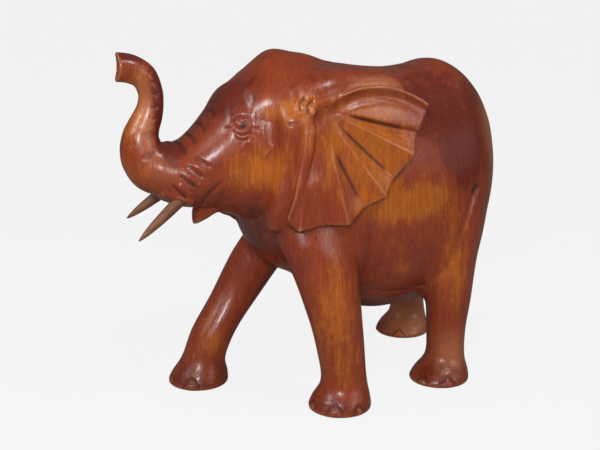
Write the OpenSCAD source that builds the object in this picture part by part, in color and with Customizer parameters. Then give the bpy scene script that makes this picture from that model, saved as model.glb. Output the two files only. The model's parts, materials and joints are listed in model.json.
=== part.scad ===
// Carved wooden elephant in full stride with raised trunk.
// The carving is one block; two tusks push into round sockets and two
// glass beads sit in drilled eye holes. The elephant faces -X, its left
// side is at -Y, the soles stand on Z = 0. All sizes in millimetres.

/* [Barrel] */
// X of the front of the chest
chest_x = -66; // [-72:1:-60]
// Length of the barrel from the chest to the rump
barrel_length = 216; // [208:1:224]
// Width of the barrel at its widest
barrel_width = 134; // [126:1:142]
// Height of the rump, the highest point of the back
back_height = 251; // [245:1:257]
// Height of the lowest line of the belly
belly_height = 56; // [51:1:61]

/* [Legs] */
// Distance between the left and the right feet, centre to centre
foot_track = 107; // [100:1:114]
// Diameter of a foot
foot_diameter = 47; // [43:1:51]
// Rounding of the edge of a sole
sole_round = 3; // [2:0.5:4]
// Height at which the legs are lost in the barrel
leg_height = 158; // [150:1:166]
// Diameter of a fore leg above the foot
fore_ankle_diameter = 35; // [31:1:39]
// Diameter of a fore leg at the shoulder, along the barrel
fore_thigh_diameter = 57; // [51:1:63]
// Distance by which a fore leg's top lies further in than its foot
fore_sink = 26; // [22:1:30]
// Diameter of a hind leg above the foot
hind_ankle_diameter = 31; // [28:1:35]
// Diameter of a hind leg at the thigh, along the barrel
hind_thigh_diameter = 61; // [55:1:67]
// Distance by which a hind leg's top lies further in than its foot
hind_sink = 18; // [15:1:21]

/* [Stride] */
// Left fore foot behind the chest
left_fore_foot = 45; // [39:1:51]
// Left fore ankle behind the chest
left_fore_ankle = 49; // [43:1:55]
// Left fore knee behind the chest
left_fore_knee = 42; // [36:1:48]
// Left shoulder behind the chest
left_shoulder = 33; // [28:1:38]
// Right fore foot in front of the chest
right_fore_foot = 15; // [9:1:21]
// Right fore ankle in front of the chest
right_fore_ankle = 10; // [5:1:15]
// Right fore knee behind the chest
right_fore_knee = 21; // [16:1:26]
// Right shoulder behind the chest
right_shoulder = 61; // [55:1:67]
// Left hind foot in front of the rump
left_hind_foot = 71; // [65:1:77]
// Left hind ankle in front of the rump
left_hind_ankle = 65; // [59:1:71]
// Left hind knee in front of the rump
left_hind_knee = 62; // [56:1:68]
// Left hip in front of the rump
left_hip = 59; // [53:1:65]
// Right hind foot in front of the rump
right_hind_foot = 18; // [13:1:24]
// Right hind ankle in front of the rump
right_hind_ankle = 13; // [8:1:18]
// Right hind knee in front of the rump
right_hind_knee = 23; // [18:1:28]
// Right hip in front of the rump
right_hip = 42; // [36:1:48]

/* [Head] */
// Upright axis in the neck about which the head is turned, behind the chest
neck_set = 33; // [28:1:38]
// Turn of the head to the elephant's right, in degrees
head_turn = 15; // [5:1:20]
// Width of the head behind the cheeks
head_width = 92; // [86:1:98]
// Height of the crown of the head
crown_height = 264; // [259:1:269]
// Height of the jaw
jaw_height = 142; // [137:1:147]
// Length of the face in front of the neck axis
face_reach = 97; // [92:1:102]
// Length of the lower lip in front of the neck axis
lip_reach = 72; // [68:1:76]
// Height of the lower lip at its root
lip_height = 24; // [21:1:27]
// Width of the lower lip at its root
lip_width = 48; // [43:1:53]

/* [Trunk] */
// Reach of the trunk's end in front of the neck axis
trunk_reach = 125; // [119:1:131]
// Height of the middle of the trunk's end
trunk_tip_height = 255; // [249:1:261]
// Diameter of the trunk's end
trunk_tip_diameter = 20.5; // [18:0.5:23]
// Thickness of the trunk where it leaves the face
trunk_root_diameter = 48; // [44:1:52]
// Height of the middle of the trunk where it leaves the face
trunk_root_height = 180; // [176:1:184]
// Width of the rim round the hollow in the trunk's end
trunk_rim = 3.5; // [2:0.5:5]
// Depth of the hollow in the trunk's end
nostril_depth = 5; // [2:0.5:8]
// Distance by which the upper lip of the trunk's end stands ahead of its lower lip
trunk_lip = 2; // [0:0.5:4]
// Depth of the dips in the rim at both sides of the trunk's end
trunk_dip = 3; // [0:0.5:4]
// Distance by which the left of the rim stands ahead of the right
trunk_slant = 3; // [0:0.5:5]

/* [Ears] */
// Root of an ear in front of the neck axis
ear_set = 9; // [5:1:13]
// Height of the root of an ear
ear_root_height = 207; // [203:1:211]
// Length of an ear from its root to the upper point
ear_length = 92; // [85:1:99]
// Drop of an ear from its root to the lower edge
ear_drop = 68; // [62:1:74]
// Thickness of an ear at its edge
ear_thickness = 5; // [4:0.5:7]
// Height of the pleats of the fan
pleat_height = 4.5; // [2:0.5:6]
// Depth of the hollows between the points of the edge
scallop_depth = 4.5; // [2:0.5:6]
// Distance by which an ear's upper point stands outside the barrel
ear_lift = 3; // [1:0.5:6]
// Lean of the ears towards the body at the top, in degrees
ear_lean = 6; // [2:0.5:10]
// Width of the fold along the front of an ear
ear_fold = 12; // [9:0.5:14]
// Depth to which the root of an ear runs into the neck
ear_root_depth = 34; // [28:1:40]
// Radius of the swelling behind the upper edge of an ear
ear_swell = 14; // [12:0.5:16]

/* [Tusks] */
// Mouth of a tusk's socket in front of the neck axis
tusk_reach = 87.5; // [85.5:0.5:89.5]
// Height of the mouth of a tusk's socket
tusk_height = 161; // [159:0.5:163]
// Distance of the tusks from the middle of the face
tusk_offset = 21; // [19:0.5:22]
// Visible length of the left tusk
left_tusk_length = 40; // [35:1:45]
// Visible length of the right tusk
right_tusk_length = 35; // [30:1:40]
// Diameter of a tusk at the socket
tusk_diameter = 8.6; // [7:0.2:10]
// Diameter of a tusk's rounded point
tusk_tip_diameter = 1.6; // [1.2:0.2:2.4]
// Depth of the straight shank in its socket
socket_depth = 14; // [11:1:16]
// Length of the straight shank that shows in front of the socket
shank_show = 2; // [1:0.5:4]
// Radial clearance of a shank in its socket
socket_clearance = 0.05; // [0.02:0.01:0.1]
// Angle of the left tusk below the level, in degrees
left_tusk_fall = 39; // [34:1:44]
// Angle of the right tusk below the level, in degrees
right_tusk_fall = 35; // [31:1:39]
// Outward angle of the tusks, in degrees
tusk_splay = 9; // [5:1:13]

/* [Eyes] */
// Eyes in front of the neck axis
eye_reach = 44; // [41:0.5:47]
// Height of the middle of the eyes
eye_height = 215; // [212:0.5:218]
// Diameter of the carved eyeball round the bead
eyeball_diameter = 12; // [10:0.5:14]
// Height of the eyeball above the face
eyeball_rise = 2.5; // [1.5:0.5:3.5]
// Diameter of a bead
bead_diameter = 3.4; // [2.6:0.2:4.2]
// Depth of a bead's shank in its hole
bead_depth = 3; // [2:0.5:4]
// Height of the bead's round top above the face
bead_rise = 2; // [1:0.5:2.5]
// Radial clearance of a bead in its hole
bead_clearance = 0.03; // [0.02:0.01:0.06]

/* [Tail] */
// Root of the tail below the highest point of the back
tail_root_drop = 14; // [10:1:18]
// Height of the lower end of the tail
tail_end_height = 123; // [113:1:133]
// Thickness of the tail carved on the rump
tail_thickness = 9; // [7:0.5:11]

/* [Hidden] */
// Facets round a body form, round a limb, round a cord-like form and round a small round piece
body_facets = 32;
limb_facets = 20;
cord_facets = 12;
round_facets = 48;
// Power of the sections, 1 is an ellipse, and the share of their height where they are widest
section_power = 0.9;
barrel_waist = 0.44;
head_waist = 0.42;
lip_waist = 0.5;
// Rows: distance along the barrel, half width, top and bottom, all as shares
barrel_rows = [
    [0.000, 0.10, 0.58, 0.50],
    [0.020, 0.45, 0.75, 0.36],
    [0.085, 0.72, 0.93, 0.25],
    [0.180, 0.83, 1.020, 0.190],
    [0.300, 0.92, 1.015, 0.105],
    [0.450, 0.985, 0.990, 0.012],
    [0.600, 1.00, 0.975, 0.00],
    [0.720, 0.99, 0.982, 0.01],
    [0.810, 0.95, 0.998, 0.06],
    [0.890, 0.838, 0.955, 0.18],
    [0.950, 0.662, 0.868, 0.32],
    [0.985, 0.42, 0.760, 0.36],
    [1.000, 0.12, 0.620, 0.46]
];
// Rows: distance in front of the neck axis, top, bottom and half width, all as shares
head_rows = [
    [-0.350, 0.88, 0.10, 0.60],
    [-0.206, 0.945, 0.03, 0.90],
    [-0.062, 0.98, 0.01, 1.00],
    [0.103, 1.00, 0.00, 0.99],
    [0.247, 0.930, 0.00, 0.93],
    [0.392, 0.83, 0.005, 0.87],
    [0.515, 0.77, 0.045, 0.81],
    [0.598, 0.67, 0.07, 0.76],
    [0.701, 0.575, 0.08, 0.70],
    [0.804, 0.500, 0.09, 0.65],
    [0.907, 0.450, 0.11, 0.58],
    [1.000, 0.42, 0.15, 0.46]
];
// Rows: reach and rise as shares, then thickness and width between tip and root
trunk_rows = [
    [0.556, -0.030, 0.500, 1.00],
    [0.706, 0.000, 0.640, 1.00],
    [0.794, 0.050, 0.680, 0.86],
    [0.845, 0.135, 0.564, 0.64],
    [0.869, 0.230, 0.382, 0.49],
    [0.869, 0.338, 0.215, 0.35],
    [0.852, 0.432, 0.076, 0.20],
    [0.824, 0.540, -0.018, 0.09],
    [0.807, 0.650, -0.090, 0.02],
    [0.808, 0.770, -0.105, -0.02],
    [0.845, 0.905, -0.060, -0.02],
    [0.921, 0.980, 0.000, 0.02],
    [1.000, 1.000, 0.000, 0.02]
];
// Rim at the bottom of the hollow in the trunk's end against the rim at its mouth
hollow_taper = 1.6;
// Rows: reach, top and bottom above the jaw and half width of the lip, all as shares
lip_rows = [
    [0.35, 1.00, 0.08, 1.00],
    [0.60, 1.02, 0.18, 0.88],
    [0.77, 0.86, 0.22, 0.71],
    [0.88, 0.66, 0.02, 0.52],
    [0.97, 0.46, -0.12, 0.33],
    [1.00, 0.34, -0.12, 0.14]
];
// Rows of a leg: share of its height, way from foot to ankle, ankle to knee and knee to top,
// share of its sink, then from foot to ankle and from ankle to thigh
leg_rows = [
    [0.057, 0.3, 0, 0, 0.00, 0.27, 0.00],
    [0.133, 1.0, 0, 0, 0.02, 1.00, 0.00],
    [0.266, 1.0, 0.32, 0, 0.05, 1.00, 0.02],
    [0.443, 1.0, 1.0, 0, 0.09, 1.00, 0.26],
    [0.633, 1.0, 1.0, 0.5, 0.27, 1.00, 0.66],
    [0.810, 1.0, 1.0, 1.0, 0.55, 1.00, 1.00],
    [1.000, 1.0, 1.0, 1.0, 1.00, 1.00, 0.80]
];
// Step in of the sole's edge for its rounding
sole_slope = 0.4;
// Share of the thigh's widening that a leg has across the barrel
thigh_flatness = 0.42;
// Rows: place behind the rump in tail thicknesses, fall of the tail and thickness as shares
tail_rows = [
    [-1.78, 0.00, 1.10],
    [-0.78, 0.16, 1.00],
    [-0.11, 0.38, 0.90],
    [0.17, 0.60, 0.80],
    [0.11, 0.80, 0.95],
    [-0.22, 0.95, 0.85],
    [-0.44, 1.00, 0.40]
];
// Points of the ear's upper edge: angle and reach. Points of its scalloped edge: angle, reach,
// share of the next hollow and share of the root's depth that the edge still has
fan_top = [
    [94, 0.20 * ear_length],
    [64, 0.30 * ear_length],
    [42, 0.53 * ear_length],
    [25.4, 0.775 * ear_length],
    [11, ear_length]
];
fan_edge = [
    [11, ear_length, 1, 0],
    [-13.7, 0.85 * ear_length, 1, 0],
    [-42, 0.76 * ear_length, 1, 0],
    [-71.5, ear_drop, 1, 0.35],
    [-104, ear_drop, 0, 0.6],
    [-117, 0.86 * ear_drop, 0, 0.6]
];
// Angle over which the last pleat fades out towards the upper edge
pleat_fade = 40;
// Share of the way from the root to the edge at which the pleats have their full height
pleat_full = 0.62;
// Share of its width by which the fold lies behind the middle of the ear
fold_sink = 0.17;
// Rows of the fold: place and height as shares of the drop, width as a share
fold_rows = [
    [-0.03, 0.28, 0.33],
    [-0.09, 0.18, 0.75],
    [-0.13, -0.06, 0.92],
    [-0.20, -0.29, 1.00],
    [-0.31, -0.56, 1.00],
    [-0.38, -0.79, 0.67]
];
// Rows of the swelling: place along the ear, height and place behind it as shares of the ear's
// length, then its radius and its run into the neck as shares
swell_rows = [
    [-0.20, 0.280, 0.370, 0.75, 0.8],
    [-0.03, 0.300, 0.275, 0.96, 1.0],
    [0.14, 0.322, 0.205, 1.05, 1.0],
    [0.30, 0.336, 0.168, 1.03, 1.0],
    [0.46, 0.337, 0.157, 1.00, 1.0],
    [0.64, 0.326, 0.152, 0.93, 0.9],
    [0.76, 0.300, 0.130, 0.68, 0.7],
    [0.83, 0.280, 0.100, 0.30, 0.4]
];
// Rows of a tusk: way from the shank to the point and radius, as shares
tusk_rows = [
    [0.00, 1.00],
    [0.20, 0.95],
    [0.45, 0.83],
    [0.65, 0.67],
    [0.82, 0.47],
    [0.94, 0.25],
    [1.00, 0.00]
];

foot_y = foot_track / 2;
neck_x = chest_x + neck_set;
rump_x = chest_x + barrel_length;
hub_y = head_width / 2 + ear_thickness;
ear_tip_y = barrel_width / 2 + ear_lift;
ear_flare = asin((ear_tip_y - hub_y) / ear_length);
eye_side = head_side(eye_reach, eye_height);

function mix(a, b, t) = a + (b - a) * t;
function soft(v, p) = sign(v) * pow(abs(v), p);
function ease(t) = let (c = max(0, min(1, t))) c * c * (3 - 2 * c);
function column(rows, i) = [for (r = rows) [r[0], r[i]]];
// Smooth curve through the rows of a table, read at u from 0 to 1
function along(rows, u) =
    let (n = len(rows), s = u * (n - 1), i = min(floor(s), n - 2), f = s - i)
    let (a = rows[max(i - 1, 0)], b = rows[i], c = rows[i + 1], d = rows[min(i + 2, n - 1)])
    0.5 * (2 * b + (c - a) * f + (2 * a - 5 * b + 4 * c - d) * f * f + (3 * b - a - 3 * c + d) * f * f * f);
// Egg-shaped section: half width, top, bottom and the share of its height where it is widest
function egg(w, top, bottom, waist, n) =
    let (zm = mix(bottom, top, waist))
    [for (k = [0 : n - 1]) let (a = 360 * k / n)
        [w * soft(cos(a), section_power),
         zm + (sin(a) > 0 ? top - zm : zm - bottom) * soft(sin(a), section_power)]];
// Half width of the head at a reach and a height above its waist
function head_side(h, z) =
    let (top = mix(jaw_height, crown_height, lookup(h / face_reach, column(head_rows, 1))))
    let (bottom = mix(jaw_height, crown_height, lookup(h / face_reach, column(head_rows, 2))))
    let (w = head_width / 2 * lookup(h / face_reach, column(head_rows, 3)))
    let (zm = mix(bottom, top, head_waist), s = pow((z - zm) / (top - zm), 1 / section_power))
    w * pow(1 - s * s, section_power / 2);

// Closed skin over rings of equal count, with flat ends
module skin(rings) {
    n = len(rings[0]);
    m = len(rings);
    sides = [for (i = [0 : m - 2], j = [0 : n - 1])
        let (a = i * n + j, b = i * n + (j + 1) % n)
        each [[a, b + n, b], [a, a + n, b + n]]];
    first = [[for (j = [0 : n - 1]) j]];
    last = [[for (j = [n - 1 : -1 : 0]) (m - 1) * n + j]];
    polyhedron(points = [for (r = rings) each r], faces = concat(first, sides, last), convexity = 8);
}

// Head frame: forward is -X from the neck axis, turned to the right
module headed() {
    translate([neck_x, 0, 0]) rotate([0, 0, -head_turn]) children();
}

module barrel() {
    steps = 28;
    skin([for (i = [0 : steps])
        let (r = along(barrel_rows, i / steps))
        [for (p = egg(barrel_width / 2 * r[1], mix(belly_height, back_height, r[2]),
            mix(belly_height, back_height, r[3]), barrel_waist, body_facets))
            [chest_x + barrel_length * r[0], p[0], p[1]]]]);
}

module skull() {
    steps = 24;
    skin([for (i = [steps : -1 : 0])
        let (r = along(head_rows, i / steps))
        [for (p = egg(head_width / 2 * r[3], mix(jaw_height, crown_height, r[1]),
            mix(jaw_height, crown_height, r[2]), head_waist, body_facets))
            [-r[0] * face_reach, p[0], p[1]]]]);
}

function trunk_at(u) =
    let (r = along(trunk_rows, u))
    [r[0] * trunk_reach, mix(trunk_root_height, trunk_tip_height, r[1]),
     mix(trunk_tip_diameter, trunk_root_diameter, r[2]) / 2,
     mix(trunk_tip_diameter, trunk_root_diameter, r[3]) / 2];
// Distance by which the rim of the trunk's end lies back at an angle from the right
function trunk_set(q) = trunk_lip * sin(q) / 2 + trunk_dip * pow(cos(q), 2) + trunk_slant * cos(q) / 2;
// Ring square to the trunk's line at u, drawn in by inset, set back into the end and shaped as its rim
function trunk_ring(u, inset = 0, back = 0, rim = 0) =
    let (c = trunk_at(u), a = trunk_at(max(u - 0.01, 0)), b = trunk_at(min(u + 0.01, 1)))
    let (l = norm([b[0] - a[0], b[1] - a[1]]), t = [(b[0] - a[0]) / l, (b[1] - a[1]) / l])
    [for (k = [0 : limb_facets - 1]) let (q = 360 * k / limb_facets)
        let (set = back + rim * trunk_set(q))
        [-(c[0] - t[0] * set + t[1] * (c[2] - inset) * sin(q)), (c[3] - inset) * cos(q),
         c[1] - t[1] * set - t[0] * (c[2] - inset) * sin(q)]];

module trunk() {
    steps = 30;
    skin(concat([for (i = [0 : steps]) trunk_ring(i / steps, rim = i == steps ? 1 : 0)],
        [trunk_ring(1, trunk_rim, 0, 1),
         trunk_ring(1, trunk_rim * hollow_taper, trunk_dip + nostril_depth)]));
}

module lower_lip() {
    steps = 12;
    skin([for (i = [steps : -1 : 0])
        let (r = along(lip_rows, i / steps))
        [for (p = egg(lip_width / 2 * r[3], jaw_height + lip_height * r[1],
            jaw_height + lip_height * r[2], lip_waist, limb_facets))
            [-r[0] * lip_reach, p[0], p[1]]]]);
}

// Leg on a flat sole: X of foot, ankle, knee and top, side of the body, diameters and sink
module leg(foot, ankle, knee, top, side, ankle_diameter, thigh_diameter, sink) {
    f = foot_diameter / 2;
    a = ankle_diameter / 2;
    swell = thigh_diameter / 2 - a;
    sole = [for (z = [0, sole_round]) let (r = f - (sole_round - z) * sole_slope) [foot, foot_y, z, r, r]];
    limb = [for (r = leg_rows)
        let (x = foot + (ankle - foot) * r[1] + (knee - ankle) * r[2] + (top - knee) * r[3])
        let (w = mix(f, a, r[5]))
        [x, foot_y - sink * r[4], leg_height * r[0], w + swell * r[6], w + swell * r[6] * thigh_flatness]];
    rows = concat(sole, limb);
    steps = 16;
    skin([for (i = [0 : steps])
        let (r = along(rows, i / steps))
        [for (k = [0 : limb_facets - 1]) let (q = 360 * k / limb_facets)
            [r[0] + r[3] * cos(q), side * r[1] + r[4] * sin(q), r[2]]]]);
}

// Reach of the ear's edge, depth of its edge and height of its pleats at an angle of the fan
function fan_reach(q) =
    q > fan_edge[0][0]
        ? lookup(q, [for (i = [0 : 16]) along(fan_top, i / 16)])
        : let (i = fan_step(q), f = fan_share(q, i))
            mix(fan_edge[i][1], fan_edge[i + 1][1], f) - scallop_depth * fan_edge[i][2] * sin(180 * f);
function fan_rim(q) =
    q > fan_edge[0][0] ? 0 : let (i = fan_step(q)) mix(fan_edge[i][3], fan_edge[i + 1][3], fan_share(q, i));
function fan_step(q) = max([for (i = [0 : len(fan_edge) - 2]) q <= fan_edge[i][0] ? i : 0]);
function fan_share(q, i) = (q - fan_edge[i][0]) / (fan_edge[i + 1][0] - fan_edge[i][0]);
function fan_pleat(q) = q > fan_edge[0][0]
    ? 1 - ease((q - fan_edge[0][0]) / pleat_fade)
    : abs(1 - 2 * fan_share(q, fan_step(q)));

// Pleated fan: each ring is a cut through the ear along one line from its root in the front fold
module fan() {
    angles = concat(
        [for (i = [len(fan_edge) - 1 : -1 : 1], f = [0 : 0.125 : 0.99])
            mix(fan_edge[i][0], fan_edge[i - 1][0], f)],
        [for (i = [0 : 8]) mix(fan_edge[0][0], fan_top[0][0], i / 8)]);
    steps = 6;
    half = ear_thickness / 2;
    skin([for (q = angles)
        let (ray = [cos(q), sin(q)], edge = fan_reach(q) * ray)
        let (root = half * ray + [ear_drop * fold_rows[2][0], 0])
        let (face = [for (k = [0 : steps]) let (s = k / steps)
            [s, half + pleat_height * ease(s / pleat_full) * (fan_pleat(q) - 0.5)]])
        let (back = [for (k = [steps : -1 : 0]) let (s = k / steps)
            [s, -half - ear_root_depth * mix(1, fan_rim(q), ease(s))]])
        [for (p = concat(face, back)) let (at = mix(root, edge, p[0])) [at[0], -p[1], at[1]]]]);
}

// Fold along the front of the ear, running into the neck on its inner side
module front_fold() {
    steps = 14;
    step = 360 / cord_facets;
    skin([for (i = [0 : steps])
        let (r = along(fold_rows, i / steps), w = ear_fold / 2 * r[2])
        [for (k = [0 : cord_facets - 1])
            [ear_drop * r[0] + w * cos(step * k),
             ear_fold * fold_sink - (k < cord_facets / 2 ? w : ear_root_depth) * sin(step * k),
             ear_drop * r[1]]]]);
}

// Swelling of the neck behind the upper edge of the ear
module ear_swelling() {
    steps = 14;
    step = 360 / cord_facets;
    skin([for (i = [0 : steps])
        let (r = along(swell_rows, i / steps), w = ear_swell * r[3])
        [for (k = [0 : cord_facets - 1])
            [ear_length * r[0],
             ear_length * r[2] - (k < cord_facets / 2 ? w : ear_root_depth * r[4]) * sin(step * k),
             ear_length * r[1] + w * cos(step * k)]]]);
}

module ear() {
    translate([neck_x - ear_set, -hub_y, ear_root_height])
        rotate([0, 0, -ear_flare]) rotate([-ear_lean, 0, 0]) {
            fan();
            front_fold();
            ear_swelling();
        }
}

module tail() {
    steps = 16;
    top = back_height - tail_root_drop;
    step = 360 / cord_facets;
    skin([for (i = [0 : steps])
        let (r = along(tail_rows, i / steps))
        [for (k = [0 : cord_facets - 1])
            [rump_x + tail_thickness * (r[0] + r[2] / 2 * sin(step * k)),
             tail_thickness * r[2] / 2 * cos(step * k),
             mix(top, tail_end_height, r[1])]]]);
}

// Visible length and fall of the tusk of a side
function tusk_length(side) = side < 0 ? left_tusk_length : right_tusk_length;
function tusk_fall(side) = side < 0 ? left_tusk_fall : right_tusk_fall;

// Frame of a tusk: its socket floor is the origin and its line is +Z
module tusk_frame(side) {
    headed()
        translate([-tusk_reach, side * tusk_offset, tusk_height])
            rotate([0, 0, 180 - side * tusk_splay]) rotate([0, 90 + tusk_fall(side), 0])
                translate([0, 0, -socket_depth]) children();
}

// Frame of an eye: the surface of the face is the origin and +Z points out of it
module eye_frame(side) {
    headed() translate([-eye_reach, side * eye_side, eye_height]) rotate([-90 * side, 0, 0]) children();
}

// Frame of a bead: the floor of its hole is the origin and +Z points out of the face
module bead_frame(side) {
    eye_frame(side) translate([0, 0, bead_rise - bead_depth]) children();
}

module tusk(side) {
    r = tusk_diameter / 2;
    e = tusk_tip_diameter / 2;
    shank = socket_depth + shank_show;
    top = socket_depth + tusk_length(side) - e;
    rotate_extrude($fn = round_facets)
        polygon(concat([[0, 0], [r, 0]],
            [for (i = [0 : 5]) let (t = along(tusk_rows, i / 6)) [mix(e, r, t[1]), mix(shank, top, t[0])]],
            [for (q = [0 : 45 : 90]) [e * cos(q), top + e * sin(q)]]));
}

module bead() {
    r = bead_diameter / 2;
    rotate_extrude($fn = round_facets)
        polygon(concat([[0, 0], [r, 0]], [for (q = [0 : 30 : 90]) [r * cos(q), bead_depth + r * sin(q)]]));
}

module eyeball(side) {
    eye_frame(side) translate([0, 0, eyeball_rise - eyeball_diameter / 2])
        sphere(d = eyeball_diameter, $fn = 18);
}

module carved_body() color([0.36, 0.15, 0.08]) difference() {
    resize([0, 0, 0]) {
        barrel();
        headed() {
            skull();
            trunk();
            lower_lip();
        }
        leg(chest_x + left_fore_foot, chest_x + left_fore_ankle, chest_x + left_fore_knee,
            chest_x + left_shoulder, -1, fore_ankle_diameter, fore_thigh_diameter, fore_sink);
        leg(chest_x - right_fore_foot, chest_x - right_fore_ankle, chest_x + right_fore_knee,
            chest_x + right_shoulder, 1, fore_ankle_diameter, fore_thigh_diameter, fore_sink);
        leg(rump_x - left_hind_foot, rump_x - left_hind_ankle, rump_x - left_hind_knee,
            rump_x - left_hip, -1, hind_ankle_diameter, hind_thigh_diameter, hind_sink);
        leg(rump_x - right_hind_foot, rump_x - right_hind_ankle, rump_x - right_hind_knee,
            rump_x - right_hip, 1, hind_ankle_diameter, hind_thigh_diameter, hind_sink);
        ear();
        mirror([0, 1, 0]) ear();
        tail();
        for (side = [-1, 1]) eyeball(side);
    }
    for (side = [-1, 1]) {
        tusk_frame(side) cylinder(h = socket_depth + tusk_length(side),
            r = tusk_diameter / 2 + socket_clearance, $fn = round_facets);
        bead_frame(side) cylinder(h = eyeball_diameter / 2,
            r = bead_diameter / 2 + bead_clearance, $fn = round_facets);
    }
}

module left_tusk() color([0.78, 0.66, 0.52]) tusk_frame(-1) tusk(-1);
module right_tusk() color([0.78, 0.66, 0.52]) tusk_frame(1) tusk(1);
module left_eye() color([0.05, 0.05, 0.06]) bead_frame(-1) bead();
module right_eye() color([0.05, 0.05, 0.06]) bead_frame(1) bead();

carved_body();
left_tusk();
right_tusk();
left_eye();
right_eye();
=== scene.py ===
"""Carved wooden elephant in full stride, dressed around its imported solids.

The carving is shaped as a blended distance field in millimetres, cut with the
carver's marks and turned into one mesh. Tusks and eye beads are turned pieces.
"""

import json
import logging
import math
from abc import ABC, abstractmethod
from collections.abc import Callable
from dataclasses import dataclass, field
from enum import Enum

import bmesh
import bpy
import numpy as np
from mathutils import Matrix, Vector


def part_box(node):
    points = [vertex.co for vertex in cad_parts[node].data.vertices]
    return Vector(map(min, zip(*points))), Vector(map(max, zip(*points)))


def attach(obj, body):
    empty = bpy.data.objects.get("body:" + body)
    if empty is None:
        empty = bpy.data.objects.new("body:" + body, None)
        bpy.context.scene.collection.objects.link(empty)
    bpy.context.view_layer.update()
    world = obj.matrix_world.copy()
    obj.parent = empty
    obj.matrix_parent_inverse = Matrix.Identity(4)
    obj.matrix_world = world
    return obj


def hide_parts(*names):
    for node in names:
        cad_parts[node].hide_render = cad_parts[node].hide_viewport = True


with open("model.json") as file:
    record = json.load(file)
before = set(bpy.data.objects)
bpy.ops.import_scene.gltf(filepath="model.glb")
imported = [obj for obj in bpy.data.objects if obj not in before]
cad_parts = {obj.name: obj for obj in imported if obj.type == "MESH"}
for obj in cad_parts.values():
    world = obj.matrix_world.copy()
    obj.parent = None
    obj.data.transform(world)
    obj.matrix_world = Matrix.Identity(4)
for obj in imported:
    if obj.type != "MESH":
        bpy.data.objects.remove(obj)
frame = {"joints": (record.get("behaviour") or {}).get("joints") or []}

log = logging.getLogger("elephant")

Array = np.ndarray
Rows = tuple[tuple[float, ...], ...]
Triple = tuple[float, float, float]
Colour = tuple[float, float, float, float]
Distances = Callable[[Array], Array]
Socket = bpy.types.NodeSocket
Node = bpy.types.Node
Tree = bpy.types.NodeTree
Inputs = dict[str | int, object]

MM = 0.001
# A distance, in mm, that counts as nowhere near
FAR = 40.0
# Size of the cells, in mm, of the finished carving
FINE_CELL = 0.9
# Least length and least share that are safe to divide by
TINY = 1e-6
LEAST_SHARE = 1e-3
# Steepest slope of a loft that its distances allow for
STEEPEST = 4.0
# Number of points that are measured at a time
BATCH = 20000
# Corners of a cell
CORNERS = np.array(np.meshgrid([0, 1], [0, 1], [0, 1], indexing="ij")).reshape(3, -1).T


class Side(Enum):
    """Side of the elephant, as the sign of Y."""

    LEFT = -1
    RIGHT = 1

    @property
    def word(self) -> str:
        """The side's name in a piece's name."""
        return self.name.lower()


class Spot(Enum):
    """What the points of a carver's mark are measured on."""

    FACE = "reach and height on the side of the head"
    FLANK = "X and height on the side of the body"
    HEAD = "reach, side and height in the head"
    BODY = "X, Y and height in the body"


BOTH_SIDES = (Side.LEFT, Side.RIGHT)
# The side on which a mark is laid whose points are given in full
AS_GIVEN = (Side.LEFT,)


def lerp(a: Array | float, b: Array | float, t: Array | float) -> Array | float:
    """Value between a and b at share t."""
    return a + (b - a) * t


def ease(t: Array) -> Array:
    """Smooth step from 0 to 1."""
    c = np.clip(t, 0.0, 1.0)
    return c * c * (3.0 - 2.0 * c)


def rise(value: Array, start: float, end: float) -> Array:
    """Smooth step from 0 at start to 1 at end, which may lie below start."""
    return ease((value - start) / (end - start))


def bell(value: Array, middle: Array | float, width: float) -> Array:
    """Bell curve of height 1 about a middle."""
    return np.exp(-(((value - middle) / width) ** 2))


def columns(*parts: Array) -> Array:
    """Table with the given columns."""
    return np.stack(parts, axis=1)


def soft_min(a: Array, b: Array, width: Array | float) -> Array:
    """Lesser of two distances, flowing into each other over that width in mm."""
    h = np.clip(0.5 + 0.5 * (b - a) / width, 0.0, 1.0)
    return lerp(b, a, h) - width * h * (1.0 - h)


def soft_max(a: Array, b: Array, width: float) -> Array:
    """Greater of two distances, with a rounded edge of that width."""
    return -soft_min(-a, -b, width)


def paint(red: int, green: int, blue: int) -> Colour:
    """Linear colour, as a shader socket takes it, of screen values from 0 to 255."""
    parts = [c / 255.0 for c in (red, green, blue)]
    lines = [c / 12.92 if c < 0.04045 else ((c + 0.055) / 1.055) ** 2.4 for c in parts]
    return (*lines, 1.0)


def smooth_rows(rows: Rows, samples: int = 240) -> Array:
    """Smooth curve through given rows, as a table of that many rows."""
    table = np.array(rows, float)
    spans = len(table) - 1
    u = np.linspace(0.0, spans, samples)
    i = np.minimum(u.astype(int), spans - 1)
    f = (u - i)[:, None]
    a, b = table[np.maximum(i - 1, 0)], table[i]
    c, d = table[i + 1], table[np.minimum(i + 2, spans)]
    return 0.5 * (
        2 * b + (c - a) * f + (2 * a - 5 * b + 4 * c - d) * f**2 + (3 * b - a - 3 * c + d) * f**3
    )


def put(name: str, data: bpy.types.ID) -> bpy.types.Object:
    """A new object of the scene."""
    made = bpy.data.objects.new(name, data)
    bpy.context.scene.collection.objects.link(made)
    return made


def keep_grain(mesh: bpy.types.Mesh, places: Array) -> None:
    """Keep each point's place in the grain, in mm, for the finish."""
    layer = mesh.attributes.new("grain", "FLOAT_VECTOR", "POINT")
    layer.data.foreach_set("vector", places.astype(np.float32).ravel())


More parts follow.
